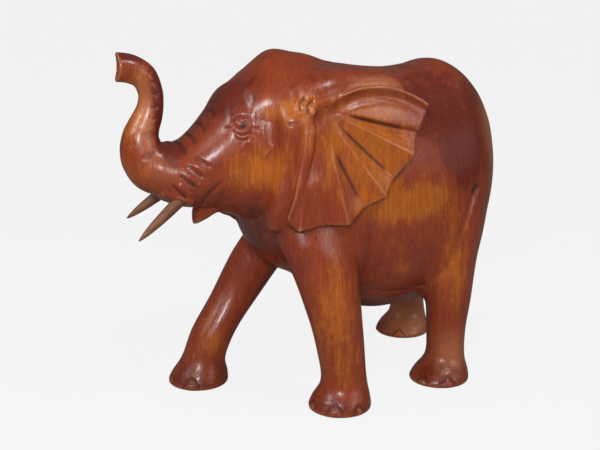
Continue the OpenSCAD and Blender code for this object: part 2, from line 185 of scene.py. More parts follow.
@dataclass(frozen=True)
class Place:
    """A frame in the elephant: an origin, three axes and a mirror for the right side."""

    origin: Triple = (0.0, 0.0, 0.0)
    axes: tuple[Triple, ...] = ((1, 0, 0), (0, 1, 0), (0, 0, 1))
    mirror: float = 1.0

    def to_local(self, p: Array) -> Array:
        """Points of the elephant in this frame."""
        flip = np.array([1.0, self.mirror, 1.0])
        return (p * flip - np.array(self.origin)) @ np.array(self.axes, float).T

    def to_world(self, q: Array) -> Array:
        """Points of this frame in the elephant."""
        flip = np.array([1.0, self.mirror, 1.0])
        return (q @ np.array(self.axes, float) + np.array(self.origin)) * flip


HEAD_TURN = math.radians(15)
HEAD = Place(
    (-33.0, 0.0, 0.0),
    (
        (-math.cos(HEAD_TURN), math.sin(HEAD_TURN), 0.0),
        (math.sin(HEAD_TURN), math.cos(HEAD_TURN), 0.0),
        (0.0, 0.0, 1.0),
    ),
)
BODY = Place()


@dataclass(kw_only=True)
class Form(ABC):
    """A form of the carving, known by its distance field in mm."""

    soft: float = 2.0
    room: float = 6.0
    place: Place = field(default_factory=Place)
    low: Array = field(init=False, repr=False)
    high: Array = field(init=False, repr=False)

    def bound(self, low: Array, high: Array) -> None:
        """Keep the box with those corners of the form's own frame, with room for its flow."""
        corners = self.place.to_world(np.where(CORNERS == 0, low, high))
        room = 1.5 * self.soft + self.room
        self.low, self.high = corners.min(0) - room, corners.max(0) + room

    def near(self, p: Array) -> Array:
        """Mask of the points that lie in the form's box."""
        return np.all((p > self.low) & (p < self.high), axis=1)

    def flow(self, q: Array) -> Array | float:
        """Width of the flow into the forms before it, at points in the form's own frame."""
        return self.soft

    def join(self, p: Array, d: Array) -> None:
        """Join this form to the distances d so far, at points p of the elephant."""
        near = np.flatnonzero(self.near(p))
        if len(near):
            q = self.place.to_local(p[near])
            d[near] = soft_min(d[near], self.distance(q), self.flow(q))

    @abstractmethod
    def distance(self, q: Array) -> Array:
        """Distances of points in the form's own frame, below 0 inside."""


@dataclass(kw_only=True)
class EggLoft(Form):
    """Loft of egg-shaped sections along the first axis.

    The table's columns are station, half width, top and bottom in mm.
    """

    table: Array
    waist: float = 0.44
    power: float = 2.2
    slopes: Array = field(init=False, repr=False)

    def __post_init__(self) -> None:
        """Work out the form's slopes and box."""
        self.table = self.table[np.argsort(self.table[:, 0], kind="stable")]
        station = self.table[:, 0] + TINY * np.arange(len(self.table))
        slopes = np.gradient(self.table[:, 1:], station, axis=0)
        self.slopes = np.clip(np.nan_to_num(slopes), -STEEPEST, STEEPEST)
        wide = self.table[:, 1].max()
        self.bound(
            np.array([self.table[0, 0], -wide, self.table[:, 3].min()]),
            np.array([self.table[-1, 0], wide, self.table[:, 2].max()]),
        )

    def distance(self, q: Array) -> Array:
        """Distances of points in the loft's own frame, below 0 inside."""
        station = self.table[:, 0]
        s = np.clip(q[:, 0], station[0], station[-1])
        wide, top, bottom = (np.interp(s, station, column) for column in self.table[:, 1:].T)
        wide_slope, top_slope, bottom_slope = (np.interp(s, station, column) for column in self.slopes.T)
        middle = lerp(bottom, top, self.waist)
        up = q[:, 2] - middle
        half = np.where(up > 0, top - middle, middle - bottom)
        across = np.abs(q[:, 1])
        rho = ((across / wide) ** self.power + (np.abs(up) / half) ** self.power) ** (1 / self.power)
        r = np.hypot(across, up) + TINY
        steep = np.where(up > 0, top_slope, -bottom_slope)
        slope = (across**2 * wide_slope + up**2 * steep) / r**2
        wall = (r - r / np.maximum(rho, LEAST_SHARE)) / np.sqrt(1.0 + slope**2)
        past = np.abs(q[:, 0] - s)
        return np.where(past > 0, np.hypot(np.maximum(wall, 0.0), past), wall)


@dataclass(kw_only=True)
class PostLoft(Form):
    """Loft of oval sections up the third axis.

    The table's columns are centre X, centre Y, height, radius along X,
    radius towards -Y and radius towards +Y, in mm.
    """

    table: Array
    edge: float = 1.5
    slopes: Array = field(init=False, repr=False)

    def __post_init__(self) -> None:
        """Work out the form's slopes and box."""
        self.table = self.table[np.argsort(self.table[:, 2], kind="stable")]
        height = self.table[:, 2] + TINY * np.arange(len(self.table))
        self.slopes = np.clip(np.gradient(self.table, height, axis=0), -STEEPEST, STEEPEST)
        t = self.table
        self.bound(
            np.array([(t[:, 0] - t[:, 3]).min(), (t[:, 1] - t[:, 4]).min(), t[0, 2]]),
            np.array([(t[:, 0] + t[:, 3]).max(), (t[:, 1] + t[:, 5]).max(), t[-1, 2]]),
        )

    def distance(self, q: Array) -> Array:
        """Distances of points in the loft's own frame, below 0 inside."""
        height = self.table[:, 2]
        z = np.clip(q[:, 2], height[0], height[-1])
        cx, cy, rx, low, high = (np.interp(z, height, self.table[:, i]) for i in (0, 1, 3, 4, 5))
        cx_slope, cy_slope, rx_slope = (np.interp(z, height, self.slopes[:, i]) for i in (0, 1, 3))
        dx, dy = q[:, 0] - cx, q[:, 1] - cy
        ry = np.where(dy < 0, low, high)
        rho = np.hypot(dx / rx, dy / ry)
        r = np.hypot(dx, dy) + TINY
        slope = (dx * cx_slope + dy * cy_slope) / r + rx_slope
        wall = (r - r / np.maximum(rho, LEAST_SHARE)) / np.sqrt(1.0 + slope**2)
        past = np.maximum(q[:, 2] - height[-1], height[0] - q[:, 2])
        return soft_max(wall, past, self.edge)


@dataclass(kw_only=True)
class TrunkTube(Form):
    """Tube along a bent line in the plane of the head, with a dished end.

    The table's columns are reach, height, half thickness and half width in mm.
    """

    table: Array
    rim: float = 3.0
    hollow: float = 8.0
    hollow_wall: float = 8.0
    lip: float = 2.0
    dip: float = 3.0
    slant: float = 3.0
    edge: float = 1.2
    tip_rows: int = 40
    step: Array = field(init=False, repr=False)
    way: Array = field(init=False, repr=False)

    def __post_init__(self) -> None:
        """Work out the line's directions and the form's box."""
        line = self.table[:, :2]
        way = np.gradient(line, axis=0)
        self.step = np.linalg.norm(way, axis=1)
        self.way = way / self.step[:, None]
        thick = self.table[:, 2:].max()
        low, high = line.min(0) - thick, line.max(0) + thick
        self.bound(np.array([low[0], -thick, low[1]]), np.array([high[0], thick, high[1]]))

    def nearest(self, flat: Array) -> Array:
        """Rows of the line, every second one of them, that lie nearest to points of its plane."""
        found = np.zeros(len(flat), int)
        for start in range(0, len(flat), BATCH):
            gap = flat[start:start + BATCH, None, :] - self.table[None, ::2, :2]
            found[start:start + BATCH] = 2 * np.einsum("ijk,ijk->ij", gap, gap).argmin(1)
        return np.minimum(found, len(self.table) - 1)

    def distance(self, q: Array) -> Array:
        """Distances of points in the head's frame, below 0 inside."""
        flat, side = q[:, [0, 2]], q[:, 1]
        i = self.nearest(flat)
        last = len(self.table) - 1
        along = np.einsum("ij,ij->i", flat - self.table[i, :2], self.way[i])
        u = i + along / self.step[i]
        rows = np.arange(last + 1)
        reach, height, thick, wide = (np.interp(u, rows, column) for column in self.table.T)
        way_out, way_up = (np.interp(u, rows, column) for column in self.way.T)
        normal = (flat[:, 0] - reach) * way_up - (flat[:, 1] - height) * way_out
        up, across = normal / thick, side / wide
        r = np.hypot(normal, side) + TINY
        wall = r - r / np.maximum(np.hypot(up, across), LEAST_SHARE)
        under = np.where(u < 0, -u * self.step[0], 0.0)
        d = np.where(under > 0, np.hypot(np.maximum(wall, 0.0), under), wall)
        at_tip = u > last - self.tip_rows
        end = (flat - self.table[last, :2]) @ self.way[last]
        past = end + self.lip * up / 2 + self.dip * across**2 + self.slant * across / 2
        d = soft_max(d, np.where(at_tip, past, -FAR), self.edge)
        inner = np.hypot(normal / (thick - self.rim), side / (wide - self.rim))
        cup = np.minimum(end + self.hollow * (1.0 - inner**2), (1.0 - inner) * self.hollow_wall)
        return np.where(at_tip, soft_max(d, cup, self.edge), d)


@dataclass(kw_only=True)
class Ball(Form):
    """Ball about a point of the elephant."""

    centre: Array
    radius: float = 5.0

    def __post_init__(self) -> None:
        """Work out the form's box."""
        self.bound(self.centre - self.radius, self.centre + self.radius)

    def distance(self, q: Array) -> Array:
        """Distances of points from the ball."""
        return np.linalg.norm(q - self.centre, axis=1) - self.radius


@dataclass(kw_only=True)
class EarFan(Form):
    """Pleated, scalloped fan of an ear in its own frame: along, inwards and up.

    The rows of top are angle and share of the length along the upper edge. The
    tips' rows are angle, share of the length or of the drop, and share of the
    root's depth. The rows of pleats are lines of the fan from the hub to its
    edge: start, end and height, above 0 on a ridge and below 0 in a crease, from
    the upper to the lower edge. Front and strip are the lines, along and up, of
    the front edge and of the inner side of the strip along it.
    """

    length: float = 92.0
    drop: float = 68.0
    thickness: float = 5.0
    scallop: float = 4.5
    root_depth: float = 34.0
    root_x: float = -8.8
    root_reach: float = 14.0
    pleat: float = 2.5
    pleat_floor: float = -0.86
    pleat_floor_soft: float = 0.32
    pleat_start: float = 0.45
    first_pleat_start: float = 0.4
    upper_edge_height: float = -0.5
    crease_width: float = 1.5
    rim_roll: float = 2.2
    rim_roll_width: float = 2.4
    rim_hollow: float = 2.8
    rim_hollow_width: float = 4.4
    strip_rise: float = 2.0
    strip_top_depth: float = 10.0
    strip_foot_depth: float = 7.0
    hub_hollow: float = 2.0
    hub_hollow_width: float = 10.0
    neck_flow: float = 6.0
    face_slant: float = 0.93
    edge_slant: float = 0.9
    front_soft: float = 3.0
    edge_soft: float = 1.8
    back_soft: float = 1.0
    box: Rows = ((-34.0, -12.0, -72.0), (96.0, 40.0, 52.0))
    top: Rows = ((94, 0.20), (64, 0.30), (42, 0.53), (25.4, 0.775), (11, 1.0))
    tips: Rows = ((11, 1.0, 0.0), (-13.7, 0.85, 0.0), (-42, 0.76, 0.0))
    low_tips: Rows = ((-71.5, 1.0, 0.35), (-104, 1.0, 0.6), (-117, 0.86, 0.6))
    scallops: tuple[float, ...] = (1.0, 1.0, 1.0, 1.0, 0.0)
    pleats: Rows = (
        (15.0, 17.0, 79.0, 0.9, 0.35),
        (14.8, 15.7, 77.6, -1.3, -0.9),
        (13.8, 14.0, 76.0, -18.0, 1.0),
        (12.5, 10.2, 59.5, -33.4, -1.0),
        (12.6, 5.2, 51.5, -46.0, 1.0),
        (10.7, -7.0, 33.8, -51.5, -1.0),
        (9.6, -9.8, 20.5, -64.0, 0.9),
        (5.4, -14.0, 4.6, -62.0, -0.35),
        (-4.0, -16.0, -16.5, -66.0, 0.2),
    )
    front: Rows = (
        (-24.5, -70.0),
        (-23.6, -57.2),
        (-19.4, -41.4),
        (-12.9, -13.0),
        (-10.0, 6.0),
        (-10.5, 24.0),
    )
    strip: Rows = (
        (-19.0, -70.0),
        (-18.2, -60.0),
        (-13.3, -42.0),
        (-7.2, -23.0),
        (-2.6, -8.0),
        (-1.0, 5.0),
        (-1.8, 24.0),
    )
    rim_line: Array = field(init=False, repr=False)
    turn: Array = field(init=False, repr=False)
    reach: Array = field(init=False, repr=False)
    deep: Array = field(init=False, repr=False)
    lines: Array = field(init=False, repr=False)

    def __post_init__(self) -> None:
        """Work out the outline and the form's box."""
        upper = smooth_rows(self.top, 120)
        parts = [columns(upper[:, 0], self.length * upper[:, 1], np.zeros(len(upper)))]
        edge = [(a, self.length * share, deep) for a, share, deep in self.tips]
        edge += [(a, self.drop * share, deep) for a, share, deep in self.low_tips]
        f = np.linspace(0.0, 1.0, 60)[:, None]
        for first, second, hollow in zip(edge[:-1], edge[1:], self.scallops):
            span = lerp(np.array(first), np.array(second), f)
            span[:, 1] -= self.scallop * hollow * np.sin(np.pi * f[:, 0])
            parts.append(span)
        angle, reach, deep = np.concatenate(parts).T
        a = np.radians(angle)
        out = columns(reach * np.cos(a), reach * np.sin(a))
        self.rim_line = out[:len(upper):6].copy()
        out[:, 0] -= self.root_x
        turn = np.arctan2(out[:, 1], out[:, 0])
        order = np.argsort(turn, kind="stable")
        self.turn = turn[order]
        self.reach = np.hypot(out[:, 0], out[:, 1])[order]
        self.deep = deep[order]
        self.lines = np.array(self.pleats, float)
        self.bound(*np.array(self.box))

    def off_line(self, q: Array, i: int) -> tuple[Array, Array]:
        """Distances of points below a pleat's line, and their shares of the way along it."""
        start, end = self.lines[i, :2], self.lines[i, 2:4]
        long = np.linalg.norm(end - start)
        way = (end - start) / long
        x, z = q[:, 0] - start[0], q[:, 2] - start[1]
        return x * way[1] - z * way[0], (x * way[0] + z * way[1]) / long

    def fold(self, q: Array, gap: Array) -> Array:
        """Height of the pleats from -1 to 1.

        Args:
            q: Points in the ear's frame.
            gap: Their distances from the upper edge.

        Returns:
            The height at each point.
        """
        above, t = self.off_line(q, 0)
        over = np.maximum(-above, 0.0)
        first = lerp(self.lines[0, 4], self.upper_edge_height, ease(over / (over + gap + 0.1)))
        height = np.where(above < 0, first * ease(t / self.first_pleat_start), 0.0)
        for i in range(len(self.lines) - 1):
            below, t_low = self.off_line(q, i + 1)
            inside = (above >= 0) & (below < 0)
            f = above / np.maximum(above - below, TINY)
            starts = ease(t / self.pleat_start), ease(t_low / self.pleat_start)
            ends = lerp(self.crest(i, t), self.crest(i + 1, t_low), f)
            height = np.where(inside, ends * lerp(*starts, np.clip(f, 0.0, 1.0)), height)
            above, t = below, t_low
        height = np.where(above >= 0, self.lines[-1, 4] * ease(t / self.pleat_start), height)
        return soft_max(height, np.full(len(q), self.pleat_floor), self.pleat_floor_soft)

    def crest(self, i: int, t: Array) -> Array | float:
        """Height of a pleat's line at shares of its way; creases run out before the edge."""
        h = self.lines[i, 4]
        return h if h > 0 else h * (1.0 - 0.6 * rise(t, 0.7, 1.0))

    def mark(self, q: Array, kind: float) -> Array:
        """How much of the pleats' lines some points have.

        Args:
            q: Points in the ear's frame.
            kind: 1 for the ridges or -1 for the creases.

        Returns:
            Their shares of the nearest line.
        """
        total = np.zeros(len(q))
        for i, line in enumerate(self.lines[1:-1], 1):
            if line[4] * kind > 0:
                off, t = self.off_line(q, i)
                run = rise(t, 0.02, 0.27) * (1.0 - rise(t, 0.78, 0.94))
                if kind > 0:
                    run = rise(t, 0.3, 0.7) * (t < 1.02)
                total = np.maximum(total, abs(line[4]) * bell(off, 0.0, self.crease_width) * run)
        return total

    def under_rim(self, q: Array) -> Array:
        """Distances of points in the ear's frame from the line of the upper edge."""
        best = np.full(len(q), FAR)
        flat = q[:, [0, 2]]
        for a, b in zip(self.rim_line[:-1], self.rim_line[1:]):
            t = np.clip((flat - a) @ (b - a) / ((b - a) @ (b - a)), 0.0, 1.0)
            best = np.minimum(best, np.linalg.norm(flat - a - t[:, None] * (b - a), axis=1))
        return best

    def flow(self, q: Array) -> Array:
        """Width of the flow, which is wider into the neck along the upper edge."""
        over = q[:, 2] - np.interp(q[:, 0], *self.rim_line.T)
        return self.soft + self.neck_flow * rise(over, -1.0, 3.0) * rise(q[:, 0], 84.0, 54.0)

    def rim_relief(self, x: Array, gap: Array) -> Array:
        """Height of the roll along the upper edge and of the hollow below it."""
        hollow = self.rim_hollow * rise(x, 96.0, 36.0) * bell(gap, 7.5, self.rim_hollow_width)
        return self.rim_roll * bell(gap, 1.0, self.rim_roll_width) - hollow

    def strip_relief(self, x: Array, z: Array, left: Array) -> Array:
        """Height of the strip along the front edge, whose ends sink into the head.

        Args:
            x: Places along the ear.
            z: Heights in the ear's frame.
            left: Places of the front edge.

        Returns:
            The height at each point.
        """
        right = np.interp(z, *np.array(self.strip)[:, ::-1].T)
        e = 2.0 * (x - left) / (right - left) - 1.0
        flat = np.clip(1.0 - e**4, 0.0, 1.0)
        domed = np.clip(1.0 - e**2, 0.0, 1.0) ** 1.3
        strip = self.strip_rise * rise(z, -50.0, -10.0) * lerp(domed, flat, rise(z, -30.0, -5.0))
        beside = rise(z, -38.0, -14.0) * rise(x - right, -1.4, 2.2)
        hollow = self.hub_hollow * beside * bell(x, right, self.hub_hollow_width)
        sunk = self.strip_top_depth * rise(z, 15.0, 27.0) + self.strip_foot_depth * rise(z, -40.0, -66.0)
        return strip - hollow - sunk * rise(x - right, 3.0, -3.0)

    def distance(self, q: Array) -> Array:
        """Distances of points in the ear's frame, below 0 inside."""
        x, z = q[:, 0], q[:, 2]
        r = np.hypot(x - self.root_x, z)
        turn = np.arctan2(z, x - self.root_x)
        edge = np.interp(turn, self.turn, self.reach) + self.root_reach * rise(turn, 1.15, 1.60)
        left = np.interp(z, *np.array(self.front)[:, ::-1].T)
        gap = self.under_rim(q)
        half = self.thickness / 2
        relief = self.pleat * self.fold(q, gap) + self.rim_relief(x, gap) + self.strip_relief(x, z, left)
        deep = lerp(1.0, np.interp(turn, self.turn, self.deep), ease(r / edge))
        out = -q[:, 1]
        past = soft_max((r - edge) * self.edge_slant, left - x, self.front_soft)
        slab = soft_max(out - half - relief, -half - self.root_depth * deep - out, self.back_soft)
        return soft_max(slab * self.face_slant, past, self.edge_soft)


@dataclass(frozen=True)
class Cut:
    """A carver's mark: a groove, or with a negative depth a roll, along a line."""

    spot: Spot
    line: Rows
    width: float
    depth: float
    dark: float = 1.0
    sides: tuple[Side, ...] = BOTH_SIDES


def alike(spot: Spot, width: float, depth: float, dark: float, *lines: Rows,
          sides: tuple[Side, ...] = BOTH_SIDES) -> tuple[Cut, ...]:
    """Marks of one kind, one along each of several lines."""
    return tuple(Cut(spot, line, width, depth, dark, sides) for line in lines)


@dataclass
class CutLine:
    """A mark laid on the surface: close points with their strength."""

    points: Array
    strength: Array
    width: float
    depth: float
    dark: float
    spread: float = 2.4

    def amount(self, p: Array) -> tuple[Array, Array]:
        """How much of the mark some points have.

        Args:
            p: Points in the elephant's frame.

        Returns:
            The numbers of the points near the mark and their shares of it.
        """
        room = self.spread * self.width
        low, high = self.points.min(0) - room, self.points.max(0) + room
        near = np.flatnonzero(np.all((p > low) & (p < high), axis=1))
        share = np.zeros(len(near))
        for start in range(0, len(near), BATCH):
            part = p[near[start:start + BATCH]]
            gap = part[:, None, :] - self.points[None]
            square = np.einsum("ijk,ijk->ij", gap, gap)
            best = square.argmin(1)
            nearest = square[np.arange(len(part)), best]
            share[start:start + BATCH] = np.exp(-nearest / self.width**2) * self.strength[best]
        return near, share


@dataclass(frozen=True)
class Stain:
    """A soft patch of the stain about a point, in mm."""

    centre: Triple
    size: Triple
    amount: float
    mirrored: bool = True

    def share(self, points: Array) -> Array:
        """How much of the patch some points have, on its own side or on both."""
        total = np.zeros(len(points))
        for mirror in (1.0, -1.0) if self.mirrored else (1.0,):
            off = (points - np.array(self.centre) * np.array([1.0, mirror, 1.0])) / np.array(self.size)
            total += self.amount * np.exp(-(off**2).sum(1))
        return total


@dataclass(frozen=True)
class Leg:
    """A leg: X of its foot, ankle, knee and top, its girths in mm, and its nails.

    Ankle is the diameter above the foot, thigh the diameter at the top along the
    barrel, and sink the distance by which the top lies further in than the foot.
    The nails' rows are the angle from the front towards the left side, in
    degrees, and the size, where 1 is full.
    """

    side: Side
    stops: tuple[float, float, float, float]
    ankle: float
    thigh: float
    sink: float
    nails: Rows


FORE_GIRTHS = (35.0, 57.0, 26.0)
HIND_GIRTHS = (31.0, 61.0, 18.0)
LEGS = (
    Leg(Side.LEFT, (-21.0, -17.0, -24.0, -33.0), *FORE_GIRTHS, ((42.0, 1.0), (92.0, 0.7), (-14.0, 0.8))),
    Leg(Side.RIGHT, (-81.0, -76.0, -45.0, -5.0), *FORE_GIRTHS, ((44.0, 1.0), (-12.0, 0.8), (-64.0, 0.7))),
    Leg(Side.LEFT, (79.0, 85.0, 88.0, 91.0), *HIND_GIRTHS, ((66.0, 0.9), (12.0, 0.8))),
    Leg(Side.RIGHT, (132.0, 137.0, 127.0, 108.0), *HIND_GIRTHS, ((42.0, 0.8), (-30.0, 0.8))),
)


@dataclass
class GridMesh:
    """Mesh of a distance field's zero level, one point to a cell.

    A cell is kept while the surface may lie within its reach, a number of cell
    sizes and a margin in mm for what the cell finder leaves out.
    """

    cell: float
    low: Array
    high: Array
    reach: float = 1.9
    margin: float = 2.4

    def near_cells(self, shape: Distances, levels: int) -> Array:
        """Cells of the finest grid that may hold the surface.

        Args:
            shape: Distance field of points.
            levels: Number of times that the cells are halved.

        Returns:
            Whole-number places of the cells.
        """
        size = self.cell * 2**levels
        count = np.ceil((self.high - self.low) / size).astype(int)
        cells = np.array(np.meshgrid(*[np.arange(n) for n in count], indexing="ij")).reshape(3, -1).T
        for level in range(levels + 1):
            d = shape(self.low + (cells + 0.5) * size)
            cells = cells[np.abs(d) < self.reach * size + self.margin]
            if level < levels:
                cells = (2 * cells[:, None, :] + CORNERS[None]).reshape(-1, 3)
                size /= 2
        return cells

    def build(self, shape: Distances, solid: Distances, levels: int) -> tuple[Array, Array]:
        """Points and four-sided faces of the surface.

        Args:
            shape: Distance field that finds the cells.
            solid: Distance field whose zero level is meshed.
            levels: Number of times that the cells are halved.

        Returns:
            Points in mm and faces as rows of point numbers.
        """
        cells = self.near_cells(shape, levels)
        count = np.ceil((self.high - self.low) / self.cell).astype(np.int64) + 4
        key = np.array([count[1] * count[2], count[2], 1], np.int64)
        every = ((cells[:, None, :] + CORNERS[None]) @ key).ravel()
        nodes, back = np.unique(every, return_inverse=True)
        spot = columns(nodes // key[0], nodes % key[0] // key[1], nodes % key[1])
        value = solid(self.low + spot * self.cell)
        value = np.where(np.abs(value) < TINY, TINY, value)
        own = value[back].reshape(-1, len(CORNERS))
        mixed = (own.min(1) < 0) & (own.max(1) > 0)
        cells = cells[mixed]
        points = self.low + (cells + self.crossings(own[mixed])) * self.cell
        cell_key = cells @ key
        order = np.argsort(cell_key)
        sorted_key = cell_key[order]
        faces = []
        for axis in range(3):
            ahead = np.minimum(np.searchsorted(nodes, nodes + key[axis]), len(nodes) - 1)
            cross = (nodes[ahead] == nodes + key[axis]) & (value * value[ahead] < 0)
            base = nodes[cross]
            b, c = key[(axis + 1) % 3], key[(axis + 2) % 3]
            ring = columns(base - b - c, base - c, base, base - b)
            found = np.minimum(np.searchsorted(sorted_key, ring), len(sorted_key) - 1)
            whole = np.all(sorted_key[found] == ring, axis=1)
            quads = order[found[whole]]
            inside = value[np.flatnonzero(cross)[whole]] < 0
            faces.append(np.where(inside[:, None], quads, quads[:, ::-1]))
        return points, np.concatenate(faces)

    @staticmethod
    def crossings(own: Array) -> Array:
        """Middle of the places where the surface crosses the edges of cells.

        Args:
            own: Distances at the corners of each cell.

        Returns:
            A place in each cell, from 0 to 1 along each axis.
        """
        total, hits = np.zeros((len(own), 3)), np.zeros(len(own))
        for i, a in enumerate(CORNERS):
            for j, b in enumerate(CORNERS[i + 1:], i + 1):
                if np.abs(a - b).sum() == 1:
                    cross = own[:, i] * own[:, j] < 0
                    t = own[cross, i] / (own[cross, i] - own[cross, j])
                    total[cross] += lerp(a, b, t[:, None])
                    hits[cross] += 1
        return total / hits[:, None]


def settle(points: Array, solid: Distances, rounds: int = 2, most: float = 0.8,
           nudge: float = 0.12) -> Array:
    """Points moved onto the zero level of a distance field.

    Args:
        points: Points near the surface, in mm.
        solid: Distance field.
        rounds: Number of steps.
        most: Longest step in mm.
        nudge: Distance over which the slope is measured, in mm.

    Returns:
        The moved points.
    """
    least_square = 0.05
    for _ in range(rounds):
        d = solid(points)
        slope = columns(*[solid(points + nudge * axis) - d for axis in np.eye(3)]) / nudge
        move = -(d / np.maximum((slope**2).sum(1), least_square))[:, None] * slope
        length = np.linalg.norm(move, axis=1, keepdims=True)
        points = points + move * np.minimum(1.0, most / np.maximum(length, TINY))
    return points


@dataclass
class CarvedBlock:
    """The carving: barrel, head, trunk, ears, legs and tail cut from one block.

    Sizes are in mm. The rows are shares of them: station, width, top and bottom
    of the barrel, station, top, bottom and width of head and lip, reach, height,
    thickness and width of the trunk, and so on as each method reads them.
    """

    chest_x: float = -66.0
    barrel_length: float = 216.0
    barrel_width: float = 134.0
    back_height: float = 251.0
    belly_height: float = 56.0
    foot_y: float = 53.5
    foot_radius: float = 23.5
    sole_height: float = 3.0
    sole_edge: float = 1.2
    leg_height: float = 158.0
    thigh_depth: float = 0.42
    head_width: float = 92.0
    crown_height: float = 264.0
    jaw_height: float = 142.0
    face_reach: float = 97.0
    lip_reach: float = 72.0
    lip_height: float = 24.0
    lip_width: float = 48.0
    trunk_reach: float = 125.0
    trunk_root_height: float = 180.0
    trunk_tip_height: float = 255.0
    trunk_root_width: float = 48.0
    trunk_tip_width: float = 20.5
    ear_hub: Triple = (-42.0, 51.0, 207.0)
    ear_flare: float = math.asin(19.0 / 92.0)
    ear_lean: float = math.radians(6)
    ear_swell: float = 14.0
    tusk_mouth: Triple = (87.5, 21.0, 161.0)
    socket_radius: float = 4.4
    socket_depth: float = 14.0
    socket_clear: float = 24.0
    eye: tuple[float, float] = (44.0, 215.0)
    eyeball: float = 11.6
    eye_proud: float = 1.4
    eye_room: float = 17.0
    tail_width: float = 9.0
    tail_root_drop: float = 14.0
    tail_tip_height: float = 123.0
    side_reach: float = 92.0
    side_step: float = 0.8
    grid_room: float = 4.0
    ear_face: tuple[float, float] = (-8.0, 2.0)
    crease_dark: float = 0.75
    # Painted shade in hollows, by how far the surface bends in
    hollow_dark: float = 0.55
    # Painted highlight along the ridges of the ears
    ridge_worn: float = 0.6
    knife_phase: float = 40.0
    knife_start: float = 12.0
    barrel_rows: Rows = (
        (0.000, 0.10, 0.58, 0.50),
        (0.020, 0.45, 0.75, 0.36),
        (0.085, 0.72, 0.93, 0.25),
        (0.180, 0.83, 1.020, 0.190),
        (0.300, 0.92, 1.015, 0.105),
        (0.450, 0.985, 0.990, 0.012),
        (0.600, 1.00, 0.975, 0.00),
        (0.720, 0.99, 0.982, 0.01),
        (0.810, 0.95, 0.998, 0.06),
        (0.890, 0.838, 0.955, 0.18),
        (0.950, 0.662, 0.868, 0.32),
        (0.985, 0.42, 0.760, 0.36),
        (1.000, 0.12, 0.620, 0.46),
    )
    head_rows: Rows = (
        (-0.350, 0.88, 0.10, 0.60),
        (-0.206, 0.945, 0.03, 0.90),
        (-0.062, 0.98, 0.01, 1.00),
        (0.103, 1.00, 0.00, 0.99),
        (0.247, 0.930, 0.00, 0.93),
        (0.392, 0.83, 0.005, 0.87),
        (0.515, 0.77, 0.045, 0.81),
        (0.598, 0.67, 0.07, 0.76),
        (0.701, 0.575, 0.08, 0.70),
        (0.804, 0.500, 0.09, 0.65),
        (0.907, 0.450, 0.11, 0.58),
        (1.000, 0.42, 0.15, 0.46),
    )
    trunk_rows: Rows = (
        (0.556, -0.030, 0.500, 1.00),
        (0.706, 0.000, 0.640, 1.00),
        (0.794, 0.050, 0.680, 0.86),
        (0.845, 0.135, 0.564, 0.64),
        (0.869, 0.230, 0.382, 0.49),
        (0.869, 0.338, 0.215, 0.35),
        (0.852, 0.432, 0.076, 0.20),
        (0.824, 0.540, -0.018, 0.09),
        (0.807, 0.650, -0.090, 0.02),
        (0.808, 0.770, -0.105, -0.02),
        (0.845, 0.905, -0.060, -0.02),
        (0.921, 0.980, 0.000, 0.02),
        (1.000, 1.000, 0.000, 0.02),
    )
    lip_rows: Rows = (
        (0.35, 1.00, 0.08, 1.00),
        (0.60, 1.02, 0.18, 0.88),
        (0.77, 0.86, 0.22, 0.71),
        (0.88, 0.66, 0.02, 0.52),
        (0.97, 0.46, -0.12, 0.33),
        (1.00, 0.34, -0.12, 0.14),
    )
    leg_rows: Rows = (
        (0.057, 0.3, 0, 0, 0.00, 0.27, 0.00),
        (0.133, 1.0, 0, 0, 0.02, 1.00, 0.00),
        (0.266, 1.0, 0.32, 0, 0.05, 1.00, 0.02),
        (0.443, 1.0, 1.0, 0, 0.09, 1.00, 0.26),
        (0.633, 1.0, 1.0, 0.5, 0.27, 1.00, 0.66),
        (0.810, 1.0, 1.0, 1.0, 0.55, 1.00, 1.00),
        (1.000, 1.0, 1.0, 1.0, 1.00, 1.00, 0.80),
    )
    tail_rows: Rows = (
        (-1.78, 0.00, 1.10),
        (-0.78, 0.16, 1.00),
        (-0.11, 0.38, 0.90),
        (0.17, 0.60, 0.80),
        (0.11, 0.80, 0.95),
        (-0.22, 0.95, 0.85),
        (-0.44, 1.00, 0.40),
    )
    swell_rows: Rows = (
        (-0.40, 0.250, 0.360, 0.85, 0.8),
        (-0.28, 0.260, 0.290, 0.90, 0.9),
        (-0.17, 0.265, 0.240, 1.05, 0.9),
        (-0.05, 0.275, 0.187, 1.28, 1.0),
        (0.06, 0.292, 0.165, 1.32, 1.0),
        (0.16, 0.312, 0.162, 1.30, 1.0),
        (0.30, 0.330, 0.160, 1.12, 1.0),
        (0.46, 0.337, 0.157, 1.00, 1.0),
        (0.64, 0.326, 0.152, 0.93, 0.9),
        (0.76, 0.300, 0.130, 0.68, 0.7),
        (0.83, 0.280, 0.100, 0.30, 0.4),
    )
    pad_rows: Rows = (
        (-27.0, 16.0, -66.0, 5.0),
        (-25.0, 13.0, -52.0, 8.0),
        (-21.5, 11.0, -40.0, 9.0),
        (-18.0, 10.0, -26.0, 9.0),
        (-15.0, 8.0, -10.0, 9.5),
        (-14.0, 7.0, 4.0, 10.0),
        (-12.5, 8.5, 13.0, 11.0),
        (-10.5, 12.5, 21.0, 11.0),
        (-8.0, 20.0, 29.0, 11.0),
        (-6.0, 27.0, 36.0, 10.0),
    )
    # Waves along X, Y and Z to a mm, and their heights in mm
    knife_waves: Rows = ((0.11, 0.07, 0.09, 0.10), (0.19, -0.13, 0.05, 0.07), (-0.08, 0.21, 0.17, 0.06))
    forms: list[Form] = field(default_factory=list, repr=False)
    marks: list[CutLine] = field(default_factory=list, repr=False)
    ears: list[EarFan] = field(default_factory=list, repr=False)

